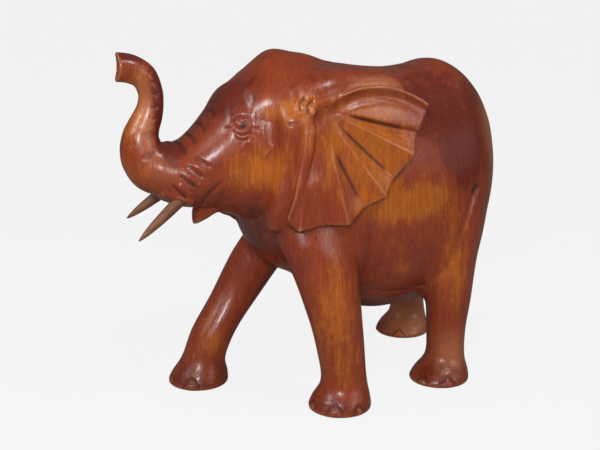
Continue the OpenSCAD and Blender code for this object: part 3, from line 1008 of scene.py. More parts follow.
    def shape_barrel(self) -> None:
        """Barrel of the body."""
        station, wide, top, bottom = smooth_rows(self.barrel_rows).T
        table = columns(
            self.chest_x + self.barrel_length * station,
            self.barrel_width / 2 * wide,
            lerp(self.belly_height, self.back_height, top),
            lerp(self.belly_height, self.back_height, bottom),
        )
        self.forms.append(EggLoft(soft=1.0, table=table, waist=0.44))

    def head_loft(self, rows: Rows, reach: float, wide: float, tall: float, soft: float,
                  waist: float) -> None:
        """Egg-shaped form that stands on the jaw.

        Args:
            rows: Shares of station, top, bottom and width.
            reach: Its length in mm.
            wide: Its width in mm.
            tall: Its height above the jaw in mm.
            soft: Width of its flow in mm.
            waist: Height of its widest place, as a share.
        """
        r = smooth_rows(rows)
        table = columns(
            reach * r[:, 0],
            wide / 2 * r[:, 3],
            self.jaw_height + tall * r[:, 1],
            self.jaw_height + tall * r[:, 2],
        )
        self.forms.append(EggLoft(soft=soft, place=HEAD, table=table, waist=waist))

    def shape_head(self) -> None:
        """Skull, trunk and lower lip."""
        tall = self.crown_height - self.jaw_height
        self.head_loft(self.head_rows, self.face_reach, self.head_width, tall, 9.0, 0.42)
        reach, height, thick, wide = smooth_rows(self.trunk_rows, 300).T
        table = columns(
            self.trunk_reach * reach,
            lerp(self.trunk_root_height, self.trunk_tip_height, height),
            lerp(self.trunk_tip_width, self.trunk_root_width, thick) / 2,
            lerp(self.trunk_tip_width, self.trunk_root_width, wide) / 2,
        )
        self.forms.append(TrunkTube(soft=7.0, place=HEAD, table=table))
        self.head_loft(self.lip_rows, self.lip_reach, self.lip_width, self.lip_height, 2.5, 0.5)

    def shape_leg(self, leg: Leg) -> None:
        """One leg on a flat sole."""
        foot, ankle, knee, top = leg.stops
        sole = self.foot_radius - self.sole_edge
        rows = [
            (foot, self.foot_y, 0.0, sole, sole),
            (foot, self.foot_y, self.sole_height, self.foot_radius, self.foot_radius),
        ]
        swell = (leg.thigh - leg.ankle) / 2
        for high, to_ankle, to_knee, to_top, sunk, slim, wide in self.leg_rows:
            x = foot + (ankle - foot) * to_ankle + (knee - ankle) * to_knee + (top - knee) * to_top
            y = self.foot_y - leg.sink * sunk
            w = lerp(self.foot_radius, leg.ankle / 2, slim)
            more = swell * wide
            rows.append((x, y, self.leg_height * high, w + more, w + more * self.thigh_depth))
        r = smooth_rows(tuple(rows))
        table = np.concatenate([r, r[:, 4:5]], axis=1)
        self.forms.append(PostLoft(soft=10.0, place=Place(mirror=leg.side.value), table=table, edge=1.4))

    def ear_place(self, side: Side) -> Place:
        """Frame of a side's ear about its hub: along, inwards and up."""
        cf, sf = math.cos(self.ear_flare), math.sin(self.ear_flare)
        cl, sl = math.cos(self.ear_lean), math.sin(self.ear_lean)
        axes = ((cf, -sf, 0.0), (sf * cl, cf * cl, -sl), (sf * sl, cf * sl, cl))
        hub = (self.ear_hub[0], -self.ear_hub[1], self.ear_hub[2])
        return Place(hub, axes, -side.value)

    def shape_ear(self, side: Side) -> None:
        """An ear, the swelling above it and the pad in front of it."""
        place = self.ear_place(side)
        turned = Place(place.origin, place.axes[::-1], place.mirror)
        fan = EarFan(soft=2.2, place=place)
        along, up, inwards, wide, deep = smooth_rows(self.swell_rows).T
        half = self.ear_swell * wide
        swell = columns(
            fan.length * up, fan.length * inwards, fan.length * along, half, half, fan.root_depth * deep
        )
        x, y, z, radius = smooth_rows(self.pad_rows).T
        pad = columns(x, y, z, radius, radius, 2.0 * radius)
        self.forms.append(PostLoft(soft=9.0, place=turned, table=swell, edge=4.0))
        self.forms.append(PostLoft(soft=9.0, place=place, table=pad, edge=4.0))
        self.forms.append(fan)
        self.ears.append(fan)

    def shape_tail(self) -> None:
        """Tail lying on the rump."""
        out, down, wide = smooth_rows(self.tail_rows).T
        half = self.tail_width / 2 * wide
        x = self.chest_x + self.barrel_length + self.tail_width * out
        z = lerp(self.back_height - self.tail_root_drop, self.tail_tip_height, down)
        table = columns(x, np.zeros(len(x)), z, half, half, half)
        self.forms.append(PostLoft(soft=2.5, table=table, edge=3.0))

    def shape_eye(self, side: Side) -> None:
        """Eyeball standing a little proud of the face."""
        seat = HEAD.to_local(self.on_side(HEAD, np.array([self.eye]), side))
        seat[:, 1] -= side.value * (self.eyeball / 2 - self.eye_proud)
        self.forms.append(Ball(soft=0.8, centre=HEAD.to_world(seat)[0], radius=self.eyeball / 2))

    def shape_all(self) -> None:
        """All the forms, in the order in which they flow into each other."""
        self.shape_barrel()
        self.shape_head()
        for leg in LEGS:
            self.shape_leg(leg)
        for side in Side:
            self.shape_ear(side)
        self.shape_tail()
        for side in Side:
            self.shape_eye(side)

    def shape(self, p: Array) -> Array:
        """Distance field of the joined forms, before sockets and carver's marks."""
        d = np.full(len(p), FAR)
        for form in self.forms:
            form.join(p, d)
        return d

    def drilled(self, p: Array) -> Array:
        """Distance field of the joined forms with their sockets, before the carver's marks."""
        return self.drill(p, self.shape(p))

    def solid(self, p: Array) -> Array:
        """Distance field of the finished carving, below 0 inside."""
        d = self.shape(p)
        for mark in self.marks:
            near, share = mark.amount(p)
            d[near] += mark.depth * share
        return self.drill(p, d) + self.hand(p)

    def drill(self, p: Array, d: Array) -> Array:
        """Distances d at points p with the sockets of both tusks taken out."""
        for side in Side:
            mouth, way = self.socket(side)
            off = p - mouth
            along = off @ way
            wall = self.socket_radius - np.linalg.norm(off - along[:, None] * way, axis=1)
            hole = np.minimum(wall, along + self.socket_depth)
            d = np.where(along < self.socket_clear, np.maximum(d, hole), d)
        return d

    def hand(self, p: Array) -> Array:
        """Slight unevenness that the knife leaves above the soles, as a height in mm."""
        total = np.zeros(len(p))
        for a, b, c, size in self.knife_waves:
            total += size * np.sin(a * p[:, 0] + b * p[:, 1] + c * p[:, 2] + self.knife_phase * a)
        return total * rise(p[:, 2], 0.0, self.knife_start)

    def socket(self, side: Side) -> tuple[Array, Array]:
        """Middle of the mouth of a side's tusk socket, and its outward direction."""
        reach, off, height = self.tusk_mouth
        mouth = HEAD.to_world(np.array([[reach, side.value * off, height]]))[0]
        joint = next(j for j in frame["joints"] if j["name"] == f"{side.word}_tusk_pull")
        way = np.array(joint["axis"], float)
        return mouth, way / np.linalg.norm(way)

    def on_side(self, place: Place, spots: Array, side: Side) -> Array:
        """Points of the outer surface at given places of its side view.

        Args:
            place: Frame whose first and third axes the places are measured on.
            spots: Rows of first and third coordinates.
            side: Side of the elephant that is looked at.

        Returns:
            Points in the elephant's frame.
        """
        steps = np.arange(self.side_reach, 0.0, -self.side_step)
        grid = np.zeros((len(spots), len(steps), 3))
        grid[:, :, 0], grid[:, :, 2] = spots[:, :1], spots[:, 1:]
        grid[:, :, 1] = side.value * steps
        d = self.shape(place.to_world(grid.reshape(-1, 3))).reshape(len(spots), -1)
        first = np.argmax(d < 0, axis=1)
        before = np.maximum(first - 1, 0)
        rows = np.arange(len(spots))
        a, b = d[rows, before], d[rows, first]
        share = np.clip(a / np.where(a == b, 1.0, a - b), 0.0, 1.0)
        depth = lerp(steps[before], steps[first], share)
        return place.to_world(columns(spots[:, 0], side.value * depth, spots[:, 1]))

    def lay(self, cut: Cut, side: Side) -> None:
        """Lay a carver's mark on the surface of one side.

        Args:
            cut: The mark.
            side: The side of the elephant.
        """
        steps, ends, faint = 8, 0.16, 0.15
        count = steps * len(cut.line)
        line = smooth_rows(cut.line, count)
        place = HEAD if cut.spot in (Spot.FACE, Spot.HEAD) else BODY
        if cut.spot in (Spot.FACE, Spot.FLANK):
            points = self.on_side(place, line, side)
        else:
            mirror = np.array([1.0, -side.value, 1.0])
            points = settle(place.to_world(line * mirror), self.shape, rounds=6, most=3.0)
        run = np.linspace(0.0, 1.0, count)
        strength = lerp(faint, 1.0, ease(run / ends) * ease((1.0 - run) / ends))
        self.marks.append(CutLine(points, strength, cut.width, cut.depth, cut.dark))

    def nails(self) -> tuple[Cut, ...]:
        """Toenails of all the feet."""
        return tuple(
            cut
            for leg in LEGS
            for turn, size in leg.nails
            for cut in foot_nail(leg.stops[0], leg.side.value * self.foot_y, turn, size)
        )

    def build(self, cuts: tuple[Cut, ...]) -> bpy.types.Object:
        """The carving as one mesh.

        Args:
            cuts: The carver's marks, apart from the toenails.

        Returns:
            The mesh object, in the frame of the solids.
        """
        self.shape_all()
        for cut in (*cuts, *self.nails()):
            for side in cut.sides:
                self.lay(cut, side)
        low, high = (np.array(v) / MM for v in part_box("carved_body"))
        cell, levels = ((FINE_CELL, 3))
        grid = GridMesh(cell, low - self.grid_room, high + self.grid_room)
        points, faces = grid.build(self.drilled, self.solid, levels)
        log.info("carving grid: %d points, %d faces", len(points), len(faces))
        mesh = bpy.data.meshes.new("carving")
        mesh.from_pydata(points * MM, [], faces)
        self.refine(mesh)
        points = settle(self.read_points(mesh), self.solid)
        points[:, 2] = np.maximum(points[:, 2], 0.0)
        mesh.vertices.foreach_set("co", (points * MM).astype(np.float32).ravel())
        mesh.update()
        mesh.shade_smooth()
        self.stain(mesh, points)
        return put("carved_block", mesh)

    @staticmethod
    def read_points(mesh: bpy.types.Mesh) -> Array:
        """Points of a mesh in mm."""
        flat = np.zeros(3 * len(mesh.vertices), np.float32)
        mesh.vertices.foreach_get("co", flat)
        return flat.reshape(-1, 3).astype(float) / MM

    def refine(self, mesh: bpy.types.Mesh) -> None:
        """Divide the faces round the eyes, where the carving is finest."""
        centres = [Vector(f.centre * MM) for f in self.forms if isinstance(f, Ball)]
        reach = self.eye_room * MM
        room = bmesh.new()
        room.from_mesh(mesh)
        edges = [
            edge for edge in room.edges
            if any(all((v.co - centre).length < reach for v in edge.verts) for centre in centres)
        ]
        bmesh.ops.subdivide_edges(room, edges=edges, cuts=1, use_grid_fill=True)
        room.to_mesh(mesh)
        room.free()

    def stain(self, mesh: bpy.types.Mesh, points: Array) -> None:
        """Write the masks that the finish reads: amber, groove with painted shade in hollows, wear with
        painted highlights, sheen and light, and grain place.

        Args:
            mesh: The carving's mesh.
            points: Its points in mm.
        """
        amber = sum(patch.share(points) for patch in AMBER_STAINS)
        # Pale patches of wear and dust, and of painted sheen, highlights and light
        pale = sum(patch.share(points) for patch in PALE_WEAR_AND_PAINTED_LIGHT)
        groove, ridge = np.zeros(len(points)), np.zeros(len(points))
        for mark in self.marks:
            near, share = mark.amount(points)
            groove[near] = np.maximum(groove[near], mark.dark * share)
        for fan in self.ears:
            near = np.flatnonzero(fan.near(points))
            local = fan.place.to_local(points[near])
            facing = (local[:, 1] > self.ear_face[0]) & (local[:, 1] < self.ear_face[1])
            crease = self.crease_dark * fan.mark(local, -1.0) * facing
            groove[near] = np.maximum(groove[near], crease)
            # Painted highlight along the ridges of the ears' pleats
            ridge[near] = np.maximum(ridge[near], self.ridge_worn * fan.mark(local, 1.0) * facing)
        bend = self.bend(mesh, points)
        masks = {
            "amber": 0.5 + 0.5 * amber,
            # The marks' darkness, with painted shade in the hollows
            "groove": groove + self.hollow_dark * np.maximum(-bend, 0.0),
            # Lighter edges, part wear and part painted highlight, with the painted ridge highlights and the
            # pale patches
            "wear": np.maximum(np.maximum(bend, ridge), pale),
        }
        for name, values in masks.items():
            layer = mesh.attributes.new(name, "FLOAT", "POINT")
            layer.data.foreach_set("value", np.clip(values, 0.0, 1.0).astype(np.float32))
        keep_grain(mesh, points)

    @staticmethod
    def bend(mesh: bpy.types.Mesh, points: Array, rounds: int = 4, strength: float = 2.2) -> Array:
        """How much the surface bends: above 0 on edges, below 0 in hollows.

        Args:
            mesh: The carving's mesh.
            points: Its points in mm.
            rounds: Number of times that the bend is smoothed.
            strength: Factor on the result.

        Returns:
            The bend at each point, smoothed over its neighbours.
        """
        least_square, most, smoothing = 0.15, 0.5, 0.6
        ends = np.zeros(2 * len(mesh.edges), np.int32)
        mesh.edges.foreach_get("vertices", ends)
        a, b = ends.reshape(-1, 2).T
        count = len(points)
        degree = np.bincount(ends, minlength=count).astype(float)
        normal = np.zeros(3 * count, np.float32)
        mesh.vertices.foreach_get("normal", normal)
        normal = normal.reshape(-1, 3).astype(float)
        gap = points[b] - points[a]
        square = np.maximum((gap**2).sum(1), least_square)
        turned = np.clip((gap * (normal[b] - normal[a])).sum(1) / square, -most, most)
        value = (np.bincount(a, turned, count) + np.bincount(b, turned, count)) / degree
        for _ in range(rounds):
            total = np.bincount(a, value[b], count) + np.bincount(b, value[a], count)
            value = lerp(value, total / degree, smoothing)
        return strength * value


def foot_nail(x: float, y: float, turn: float, size: float) -> tuple[Cut, ...]:
    """Roof-shaped groove of a toenail on the wall of a foot.

    Args:
        x: X of the foot's middle in mm.
        y: Y of the foot's middle in mm.
        turn: Angle from the front towards the left side, in degrees.
        size: Size of the nail, 1 is full.

    Returns:
        The marks of the nail.
    """
    radius = 22.5
    spread, peak, low = 17.0 * size, 3.0 + 8.5 * size, 2.2
    middle = (peak + low) / 2 + 0.6

    def at(offset: float, height: float) -> Triple:
        """Point on the foot's wall."""
        a = math.radians(turn + offset)
        return (x - radius * math.cos(a), y - radius * math.sin(a), height)

    roof = [(at(-w, low), at(-w / 2, middle), at(0.0, peak)) for w in (spread, -spread)]
    swell = (at(0.0, 2.0), at(0.0, 4.0), at(0.0, 6.0))
    return (
        *alike(Spot.BODY, 1.0, 1.3 * size, 1.0, *roof, sides=AS_GIVEN),
        Cut(Spot.BODY, swell, 3.2, -0.7 * size, 0.0, AS_GIVEN),
    )


def eye_line(*points: tuple[float, float]) -> Rows:
    """Line round the eye, from places in front of and above the bead, in mm."""
    return tuple((44.0 + 0.92 * ahead, 215.5 + up) for ahead, up in points)


# Lids, the folds under them and the corners of the eye
EYE_CUTS = (
    Cut(Spot.FACE, eye_line((7.4, -1.6), (5.6, 3.6), (0.2, 6.2), (-5.3, 4.4), (-8.2, -0.6)), 0.8, 0.5, 0.4),
    Cut(
        Spot.FACE, eye_line((8.6, 1.6), (5.6, 7.0), (0.0, 8.8), (-6.4, 7.2), (-10.6, 2.4)),
        1.8, -0.15, 0.0,
    ),
    Cut(
        Spot.FACE, eye_line((7.2, -2.6), (4.0, -6.0), (-0.3, -7.0), (-4.6, -5.4), (-7.4, -2.4)),
        0.8, 0.7, 0.75,
    ),
    Cut(Spot.FACE, eye_line((6.2, -6.4), (2.8, -10.1), (-1.6, -10.0), (-5.0, -7.8)), 0.8, 0.6, 0.6),
    Cut(Spot.FACE, eye_line((6.4, -4.6), (3.2, -8.1), (-1.0, -8.5), (-4.8, -6.6)), 1.0, -0.6, 0.0),
    Cut(Spot.FACE, eye_line((6.6, -1.2), (9.0, -1.7), (12.2, -2.2)), 0.75, 0.55, 0.6),
    Cut(Spot.FACE, eye_line((-6.6, -1.6), (-9.5, -2.3), (-13.0, -2.5)), 0.75, 0.6, 0.65),
)

# Brow, cheek roll, temple dashes and mouth, and painted shade along the back of the cheek
FACE_CUTS = (
    Cut(Spot.FACE, ((40, 224), (35, 219.5), (29, 217.8), (22, 217.0), (13, 216.5)), 1.2, 0.12, 0.3),
    Cut(Spot.FACE, ((17, 216.0), (13, 217.0), (8.5, 217.6)), 1.0, 0.8, 0.8),
    Cut(Spot.FACE, ((42, 206), (37, 202), (32, 198), (27, 194)), 4.6, -2.3, 0.0),
    *alike(
        Spot.FACE, 1.0, 1.0, 1.0,
        ((2.5, 234), (7.4, 230), (6.6, 224.5)),
        ((-2.8, 232.5), (2.2, 228.5), (1.6, 221.5)),
    ),
    Cut(Spot.FACE, ((71, 151), (71, 158), (69.5, 164), (65.5, 170), (58, 177.5)), 1.3, 1.8, 0.9),
    Cut(Spot.FACE, ((100, 168), (94, 165.5), (88, 163.5), (82, 162), (76, 160)), 3.2, -2.4, 0.0),
    # Painted shade along the back of the cheek: darkness only, with no cut
    Cut(Spot.FACE, ((11, 213), (11.5, 203), (14, 190), (18, 176), (24, 163), (27, 154)), 2.6, 0.0, 0.35),
)

# Wrinkles beside the trunk's root with the rolls between them, notches across
# its ridge, lens-shaped marks on its side and short dashes up to its tip
TRUNK_CUTS = (
    *alike(
        Spot.FACE, 1.0, 1.9, 1.0,
        ((77, 194), (73, 190.5), (67.5, 186.5)),
        ((82, 187.5), (78, 183.5), (72.5, 179)),
        ((88, 180.5), (83, 176.5), (77.5, 171.5)),
    ),
    Cut(Spot.FACE, ((92.5, 173.5), (88, 168.5), (82.5, 163.5)), 1.0, 1.8, 1.0),
    *alike(
        Spot.FACE, 1.8, -1.1, 0.0,
        ((78, 188.5), (73.5, 185), (68.5, 181.5)),
        ((83.5, 181.5), (78.5, 177.5), (73.5, 173.5)),
        ((89, 174.5), (84, 170.5), (78.5, 166.0)),
    ),
    Cut(Spot.HEAD, ((55, 7, 226), (54, -1, 227.5), (53, -9, 226.5)), 1.9, 0.4, 0.3, AS_GIVEN),
    Cut(
        Spot.HEAD, ((61, 9, 221), (59.5, -1, 222.5), (58.5, -9, 221.5), (57.5, -15, 218)), 1.9, 0.8, 0.6,
        AS_GIVEN,
    ),
    *alike(
        Spot.HEAD, 2.0, 0.9, 0.7,
        ((67, 9, 211), (66, 0, 212.5), (65, -9, 211), (64, -17, 206)),
        ((75, 9, 203.5), (74, 0, 204.5), (73, -10, 203), (71, -18, 197)),
        ((84, 9, 198.5), (83, 0, 199.5), (82, -11, 198), (80, -19, 191)),
        sides=AS_GIVEN,
    ),
    *alike(
        Spot.FACE, 0.85, 0.8, 1.0,
        ((110.5, 208.6), (105.5, 210.2), (100, 208.6)),
        ((112, 192.6), (107.5, 196.2), (102, 197.4)),
    ),
    *alike(
        Spot.FACE, 0.85, 0.7, 0.9,
        ((110.5, 208.2), (105.5, 206.6), (100, 208.2)),
        ((112, 192.2), (106.5, 193.0), (102, 197.0)),
    ),
    *alike(
        Spot.FACE, 1.0, 0.3, 0.7,
        ((109, 208.4), (105.5, 208.4), (102, 208.4)),
        ((110, 193.4), (107, 194.6), (104, 196.2)),
    ),
    *alike(
        Spot.FACE, 0.9, 0.7, 0.8,
        ((99.5, 220), (101.5, 219), (103.5, 219.5)),
        ((98.0, 228), (101, 227), (103, 228)),
        ((97.0, 237), (100.5, 236), (102.5, 237)),
        ((97.5, 246), (100.5, 244.5), (103, 245)),
        ((99.5, 256), (102, 252.5), (104.5, 251.5)),
    ),
    Cut(Spot.FACE, ((106, 262), (107.5, 258.5), (109, 256.5)), 0.9, 0.6, 0.8),
)

# Creases of shoulder, flank, hip and belly
BODY_CUTS = (
    Cut(Spot.FLANK, ((0.5, 150), (0.0, 137), (1.5, 119), (3.5, 104), (6, 91)), 2.4, 1.7, 0.4),
    Cut(Spot.FLANK, ((104, 158), (97, 148), (90, 133), (82, 117), (75, 101), (70, 86)), 3.0, 1.9, 0.3),
    Cut(Spot.FLANK, ((104.5, 157.5), (101.5, 154), (98.5, 151.5)), 3.0, 1.7, 0.9),
    Cut(
        Spot.BODY, ((11, -44, 84), (26, -47, 80), (42, -49, 79), (58, -50, 80), (68, -50, 83)),
        2.4, 1.2, 0.4,
    ),
)

# Where the stain is rubbed to amber, or with a negative amount is darker
AMBER_STAINS = (
    Stain((-76, -30, 184), (22, 26, 17), 0.85),
    Stain((-58, -38, 226), (20, 20, 9), 0.75),
    Stain((-51, -52, 210), (6, 16, 12), 0.4),
    Stain((-40, -50, 232), (22, 16, 7), 0.4),
    Stain((-55, -22, 250), (16, 14, 9), 0.2),
    Stain((0, -66, 195), (42, 20, 34), 0.95),
    Stain((40, -66, 151), (38, 20, 13), 1.05),
    Stain((-38, -66, 92), (14, 26, 44), 0.42),
    Stain((-28, -66, 45), (14, 22, 32), 0.5),
    Stain((84, -66, 100), (16, 18, 40), 0.42),
    Stain((-76, 40, 36), (14, 14, 22), 0.5, mirrored=False),
    Stain((-143, 26, 225), (11, 14, 46), 0.75, mirrored=False),
    Stain((-142, 20, 182), (14, 14, 16), 0.4, mirrored=False),
    Stain((32, -60, 99), (16, 20, 10), 0.3),
    Stain((88, -50, 205), (48, 40, 44), -0.75),
    Stain((44, -66, 122), (30, 24, 14), 0.15),
    Stain((86, -62, 178), (20, 22, 20), -0.8),
    Stain((66, -66, 172), (24, 22, 16), 0.35),
    Stain((-58, -20, 125), (22, 40, 20), -0.4),
    Stain((-76, -22, 156), (26, 28, 11), -0.25),
    Stain((-84, 0, 238), (22, 26, 18), -0.45),
    Stain((-118, 6, 180), (18, 20, 22), -0.15),
    Stain((-126, 15, 230), (6.5, 10, 36), -2.0, mirrored=False),
    Stain((-125, 12, 200), (8, 12, 11), -1.6, mirrored=False),
    Stain((-146, 28, 263), (16, 14, 6), -1.2, mirrored=False),
    Stain((-30, -66, 8), (30, 30, 11), -0.45),
    Stain((-92, 46, 8), (30, 30, 12), -0.5, mirrored=False),
    Stain((78, -66, 8), (30, 30, 11), -0.45),
    Stain((30, -10, 62), (60, 50, 12), -0.5, mirrored=False),
)

# Where the colour is lighter: pale wear and dust, and painted sheen, highlights and light
PALE_WEAR_AND_PAINTED_LIGHT = (
    # Painted sheen on the ear's upper panel and along its rim
    Stain((12, -66, 222), (24, 20, 9), 0.55),
    Stain((12, -66, 242), (44, 22, 9), 0.65),
    # Painted sheen down the trunk's front and low part, and a painted highlight at its base
    Stain((-141, 18, 222), (8, 13, 36), 0.8, mirrored=False),
    Stain((-130, 4, 182), (18, 16, 16), 0.4, mirrored=False),
    Stain((-96, -16, 206), (10, 14, 8), 0.3),
    # Feet and low leg: pale dust, with a painted reflection of the floor
    Stain((-24, -66, 10), (24, 26, 9), 0.34),
    Stain((80, -66, 26), (24, 26, 26), 0.55),
    Stain((-90, 44, 12), (24, 26, 12), 0.34, mirrored=False),
    # Painted light on the far hind leg, which lies in shade
    Stain((126, 34, 24), (28, 26, 34), 1.0, mirrored=False),
    # Painted light along the rump's edge, with pale wear
    Stain((134, -40, 185), (24, 30, 48), 0.85),
)


@dataclass(frozen=True)
class WoodTones:
    """Colours of a wooden finish, from its darkest grooves to its lightest figure."""

    groove: Colour
    dark: Colour
    middle: Colour
    light: Colour


@dataclass(frozen=True)
class Noise:
    """A noise with a number of waves to a mm along each axis.

    Detail is the number of finer layers, roughness their strength, and shift an
    offset of the place, for another draw.
    """

    scale: Triple
    detail: float
    roughness: float = 0.55
    shift: float = 0.0


class NodeBench:
    """Lays out the nodes of one material, world or node group."""

    def __init__(self, tree: Tree) -> None:
        """Keep the tree and count its new nodes."""
        self.tree = tree
        self.count = 0

    def feed(self, node: Node, inputs: Inputs) -> None:
        """Give a node's inputs their numbers, colours or other nodes' outputs."""
        for name, value in inputs.items():
            if isinstance(value, (int, float, tuple)):
                node.inputs[name].default_value = value
            else:
                self.tree.links.new(value, node.inputs[name])

    def add(self, kind: str, inputs: Inputs | None = None, **settings: object) -> Node:
        """A new node with its settings and its inputs.

        Args:
            kind: Blender's name of the node type.
            inputs: Names or numbers of its inputs, with what each of them takes.
            **settings: Properties of the node.

        Returns:
            The node.
        """
        wide, tall, row = 220, 260, 8
        node = self.tree.nodes.new(kind)
        node.location = (wide * (self.count % row), -tall * (self.count // row))
        self.count += 1
        for name, value in settings.items():
            setattr(node, name, value)
        self.feed(node, inputs or {})
        return node

    def math(self, operation: str, a: object, b: object) -> Socket:
        """Result of an operation on two sockets or numbers."""
        return self.add("ShaderNodeMath", {0: a, 1: b}, operation=operation).outputs[0]

    def plus(self, total: object, value: object, share: float, middle: float = 0.0) -> Socket:
        """A total to which a share of a value is added, less a middle."""
        above = self.math("SUBTRACT", value, middle) if middle else value
        return self.math("ADD", total, self.math("MULTIPLY", above, share))

    def mix(self, share: object, a: object, b: object) -> Socket:
        """Colour between a and b, which are colours or sockets, at a share."""
        return self.add("ShaderNodeMix", {0: share, 6: a, 7: b}, data_type="RGBA").outputs[2]

    def mix_shaders(self, share: object, a: Node, b: Node) -> Node:
        """Shader between a and b at a share."""
        return self.add("ShaderNodeMixShader", {0: share, 1: a.outputs[0], 2: b.outputs[0]})

    def noise(self, place: Socket, kind: Noise) -> Socket:
        """Value of a noise at a place in mm."""
        shift = (kind.shift, kind.shift * 0.7, kind.shift * 1.3)
        spread = {0: place, 1: kind.scale, 2: shift}
        moved = self.add("ShaderNodeVectorMath", spread, operation="MULTIPLY_ADD")
        inputs = {
            "Vector": moved.outputs[0],
            "Scale": 1.0,
            "Detail": kind.detail,
            "Roughness": kind.roughness,
        }
        return self.add("ShaderNodeTexNoise", inputs, noise_dimensions="3D").outputs["Fac"]

    def ramp(self, value: Socket, low: float, high: float) -> Socket:
        """Smooth rise from 0 to 1 between two values."""
        inputs = {"Value": value, "From Min": low, "From Max": high}
        return self.add("ShaderNodeMapRange", inputs, interpolation_type="SMOOTHSTEP").outputs["Result"]

    def bump(self, height: Socket, strength: float, depth: float) -> Socket:
        """Normal of a surface with a fine relief of that depth in metres."""
        inputs = {"Strength": strength, "Distance": depth, "Height": height}
        return self.add("ShaderNodeBump", inputs).outputs["Normal"]

    def mask(self, name: str) -> Socket:
        """Value of one of the mesh's masks."""
        return self.add("ShaderNodeAttribute", attribute_name=name).outputs["Fac"]

    def grain_place(self) -> Socket:
        """Place in the grain, in mm, that the mesh keeps for each point."""
        return self.add("ShaderNodeAttribute", attribute_name="grain").outputs["Vector"]


class WoodGrain:
    """Node group of the grain that both woods share."""

    NAME = "wood_grain"
    OUTPUTS = ("Streak", "Pore", "Figure", "Height")
    DRIFT = Noise((0.012, 0.012, 0.006), 2.0)
    DRIFT_WIDTH = (9.0, 9.0, 0.0)
    STREAK = Noise((0.85, 0.85, 0.035), 3.0, 0.6)
    PORE = Noise((2.1, 2.1, 0.16), 2.0, 0.5, 5.0)
    FIGURE = Noise((0.10, 0.10, 0.012), 3.0, 0.55, 11.0)
    STREAK_HEIGHT = 0.35

    @classmethod
    def group(cls) -> Tree:
        """The group: grain place in, streak, pore, figure and height out.

        Returns:
            The node group, built once.
        """
        found = bpy.data.node_groups.get(cls.NAME)
        if found:
            return found
        tree = bpy.data.node_groups.new(cls.NAME, "ShaderNodeTree")
        tree.interface.new_socket("Place", in_out="INPUT", socket_type="NodeSocketVector")
        for name in cls.OUTPUTS:
            tree.interface.new_socket(name, in_out="OUTPUT", socket_type="NodeSocketFloat")
        bench = NodeBench(tree)
        place = bench.add("NodeGroupInput").outputs["Place"]
        end = bench.add("NodeGroupOutput")
        drift = {0: bench.noise(place, cls.DRIFT), 1: cls.DRIFT_WIDTH, 2: place}
        line = bench.add("ShaderNodeVectorMath", drift, operation="MULTIPLY_ADD").outputs[0]
        streak = bench.ramp(bench.noise(line, cls.STREAK), 0.32, 0.70)
        pore = bench.ramp(bench.noise(line, cls.PORE), 0.60, 0.72)
        figure = bench.ramp(bench.noise(line, cls.FIGURE), 0.35, 0.66)
        height = bench.math("SUBTRACT", bench.math("MULTIPLY", streak, cls.STREAK_HEIGHT), pore)
        bench.feed(end, dict(zip(cls.OUTPUTS, (streak, pore, figure, height))))
        return tree

    @classmethod
    def lay(cls, bench: NodeBench, place: Socket) -> bpy.types.NodeOutputs:
        """Outputs of the group, laid in a material at the grain's place."""
        return bench.add("ShaderNodeGroup", {"Place": place}, node_tree=cls.group()).outputs


@dataclass(frozen=True)
class Finish(ABC):
    """A procedural finish, which is a material of its own."""

    name: str

    def build(self) -> bpy.types.Material:
        """The material with its nodes."""
        material = bpy.data.materials.new(self.name)
        material.use_nodes = True
        tree = material.node_tree
        self.dress(NodeBench(tree), tree.nodes["Principled BSDF"])
        return material

    @abstractmethod
    def dress(self, bench: NodeBench, shader: Node) -> None:
        """Lay out the finish's nodes in front of its shader."""
